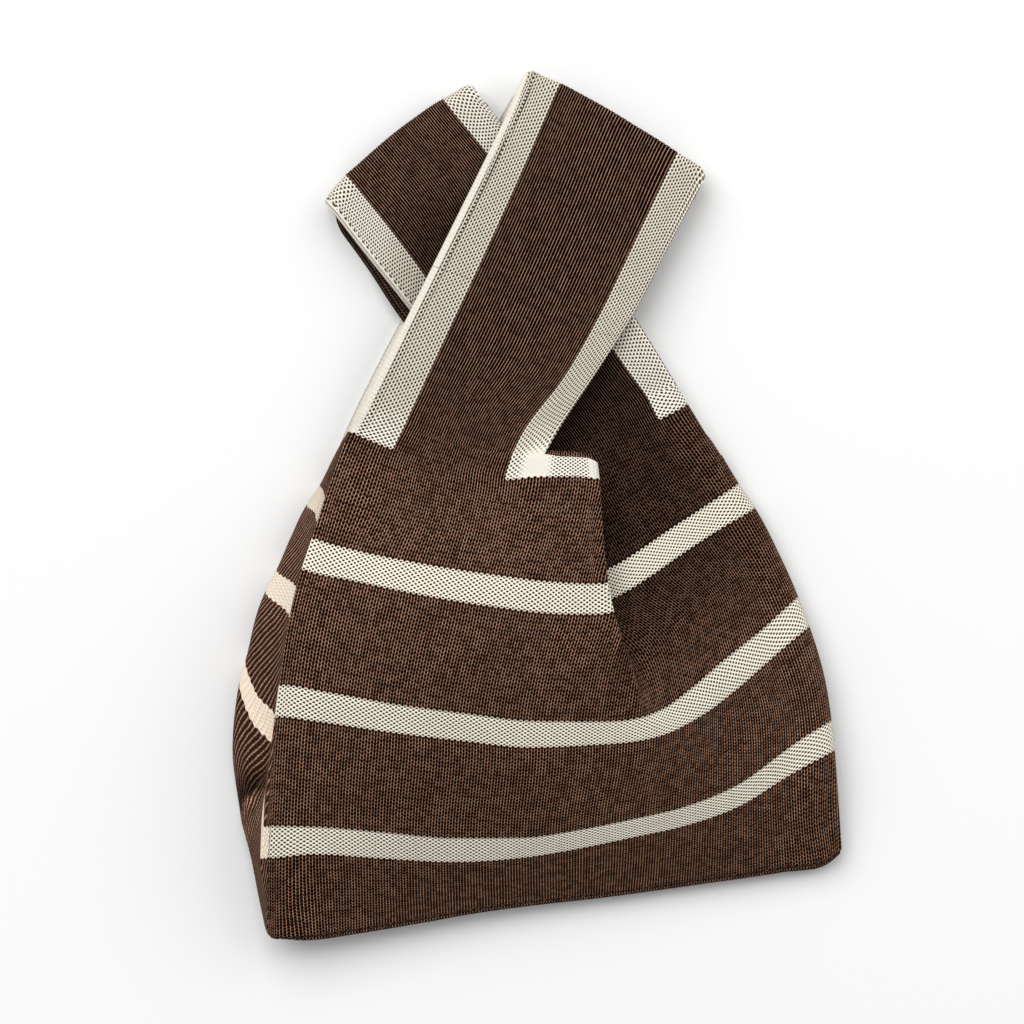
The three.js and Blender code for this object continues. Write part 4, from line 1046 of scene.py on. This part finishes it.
def chain(name, points, radius, spacing, mat):
    """a linked seam: a cord of overlapping loops along plan points"""
    p = plan(np.array(points, float))
    seg = np.linalg.norm(np.diff(p, axis=0), axis=1)
    dist = np.concatenate([[0], np.cumsum(seg)])
    n = max(8, int(dist[-1] / (spacing * MM)))
    per = 5
    q = hermite(dist, p, np.linspace(0, dist[-1], n * per + 1))
    tangent = np.gradient(q, axis=0)
    tangent /= np.linalg.norm(tangent, axis=1, keepdims=True)
    up = np.array([0, 0, 1.0])
    side = np.cross(tangent, up)
    side /= np.linalg.norm(side, axis=1, keepdims=True) + 1e-9
    other = np.cross(side, tangent)
    phase = np.arange(len(q)) / per
    r = radius * MM * (0.74 + 0.26 * np.abs(np.sin(np.pi * phase)))
    sides = 10
    ang = 2 * np.pi * np.arange(sides) / sides
    twist = 0.9 * phase
    ring = (np.cos(ang[None] + twist[:, None])[..., None] * side[:, None] + np.sin(ang[None] + twist[:, None])[..., None] * other[:, None])
    lobes = 1 + 0.16 * np.cos(2 * ang)[None]
    verts = q[:, None] + ring * (r[:, None] * lobes)[..., None]
    verts = verts.reshape(-1, 3)
    i = np.arange(len(q) - 1)[:, None] * sides
    k = np.arange(sides)[None]
    kk = (k + 1) % sides
    quads = np.stack([(i + k), (i + kk), (i + sides + kk), (i + sides + k)], -1).reshape(-1, 4)
    caps = [np.arange(sides)[::-1][None], (len(q) - 1) * sides + np.arange(sides)[None]]
    u3 = np.broadcast_to(np.arange(sides) / sides * 2, (len(q), sides)).reshape(-1)
    v3 = np.repeat(phase, sides)
    attr = np.stack([u3, v3, np.full(len(u3), 99.0)], -1)
    return make_object(name, verts, [quads] + caps, [mat], [np.zeros(len(quads)), np.zeros(1), np.zeros(1)], {"st": attr})


seam_u = np.linspace(0.6, 103.4, 60)
seam_top = body_surface(seam_u, np.zeros(60)) + np.array([0, 1.6, -0.1])
front_seam = chain("front_base_seam_yarn", seam_top, 0.8, 2.0, M_FACING)
back_seam = chain("back_base_seam_yarn", [[254 + 564 * t, 813.5 - 79 * t, 1.3] for t in np.linspace(0, 1, 12)], 0.85, 2.0, M_FACING)
left_seam = chain("left_side_seam_yarn", [[LEFT_ROWS[v][0][1] + 1.0, LEFT_ROWS[v][0][2], 1.4] for v in (0, 12, 24, 31, 59, 66, 80, 94, 101, 112)], 0.9, 2.0, M_FACING)
right_seam = chain("right_side_seam_yarn", [[ROW_KNOTS[k][-1][1] - 1.0, ROW_KNOTS[k][-1][2], 1.4] for k in range(0, BACK_ROWS)], 0.9, 2.0, M_FACING)

# ---------------------------------------------------------- riding on the frame
for ob in (front, left_side, right_side_cloth, back, base, front_facing, back_hem, back_facing, front_seam, back_seam, left_seam, right_seam):
    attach(ob, "root")


def at(px, py, z=20.0):
    return tuple(float(c) for c in plan([px, py, z]))


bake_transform(left_front)
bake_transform(right_front)
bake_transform(left_back)
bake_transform(right_back)


def across(p, q, half):
    """start and end of a fold zone, half to each side of the line p to q, towards the tip"""
    a, b = np.array(at(*p)), np.array(at(*q))
    m = (a + b) / 2
    d = b - a
    nrm = np.array([-d[1], d[0], 0.0])
    nrm /= np.linalg.norm(nrm)
    if nrm[1] < 0:
        nrm = -nrm
    return tuple(m - nrm * half), tuple(m + nrm * half)


s, e = across((503, 123.6), (637, 309.6), 0.008)
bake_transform(left_tip)
s, e = across((401, 299.5), (497, 121), 0.008)
if e[0] > s[0]:
    s, e = e, s
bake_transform(right_tip)

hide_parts("front_panel", "front_neck_hem")
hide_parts("left_side_gusset")
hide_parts("right_side_gusset")
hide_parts("back_panel")
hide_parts("base_panel")
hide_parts("front_neck_facing")
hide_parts("back_neck_hem")
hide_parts("back_neck_facing")
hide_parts("front_base_seam")
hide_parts("back_base_seam")
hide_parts("left_side_seam")
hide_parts("right_side_seam")
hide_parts("left_front_shoulder", "left_handle_front_ply", "left_handle_front_facing", "left_handle_front_inner_welt", "left_handle_front_outer_welt")
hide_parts("right_front_shoulder", "right_handle_front_ply", "right_handle_front_facing", "right_handle_front_inner_welt", "right_handle_front_outer_welt")
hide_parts("left_back_shoulder", "left_handle_back_ply", "left_handle_back_facing", "left_handle_back_inner_welt", "left_handle_back_outer_welt")
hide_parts("right_back_shoulder", "right_handle_back_ply", "right_handle_back_facing", "right_handle_back_inner_welt", "right_handle_back_outer_welt")
for side, ob in (("left", left_tip), ("right", right_tip)):
    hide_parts(*[f"{side}_tip_{k}" for k in ("front_ply", "front_facing", "back_ply", "back_facing", "bight_ply", "bight_facing", "inner_welt", "outer_welt")])

# ------------------------------------------------------- floor, lights, camera
me = bpy.data.meshes.new("floor")
me.from_pydata([(-3, -3, 0), (3, -3, 0), (3, 3, 0), (-3, 3, 0)], [], [(0, 1, 2, 3)])
floor = bpy.data.objects.new("floor", me)
scene.collection.objects.link(floor)
fm = bpy.data.materials.new("floor_white")
fm.use_nodes = True
fb = fm.node_tree.nodes["Principled BSDF"]
fb.inputs["Base Color"].default_value = (0.83, 0.83, 0.83, 1)
fb.inputs["Roughness"].default_value = 0.9
fb.inputs["Specular IOR Level"].default_value = 0.1
me.materials.append(fm)
floor.location.z = -0.0002

world = bpy.data.worlds.new("studio")
scene.world = world
world.use_nodes = True
world.node_tree.nodes["Background"].inputs[0].default_value = (1.0, 1.0, 1.0, 1)
world.node_tree.nodes["Background"].inputs[1].default_value = 0.47


def area(name, place, target, size, power, colour=(1, 1, 1)):
    li = bpy.data.lights.new(name, "AREA")
    li.energy = power
    li.size = size
    li.color = colour
    ob = bpy.data.objects.new(name, li)
    scene.collection.objects.link(ob)
    ob.location = place
    ob.rotation_euler = (Vector(target) - Vector(place)).to_track_quat("-Z", "Y").to_euler()
    return ob


area("key", (-1.00, 1.75, 2.85), (0, 0, 0), 3.1, 106.0)
area("fill", (2.10, 1.30, 2.10), (0, 0, 0), 2.6, 31.0)

cam = bpy.data.cameras.new("camera")
cam.sensor_width = 36.0
cam.lens = 4705.9 / 1024 * 36.0
cam.clip_start, cam.clip_end = 0.1, 20
co = bpy.data.objects.new("camera", cam)
scene.collection.objects.link(co)
co.location = ((PLAN_C - PLAN_X0) * GRID * MM, -(PLAN_C - PLAN_Y0) * GRID * MM, VIEW_HEIGHT * MM)
co.rotation_euler = (0, 0, 0)
scene.camera = co
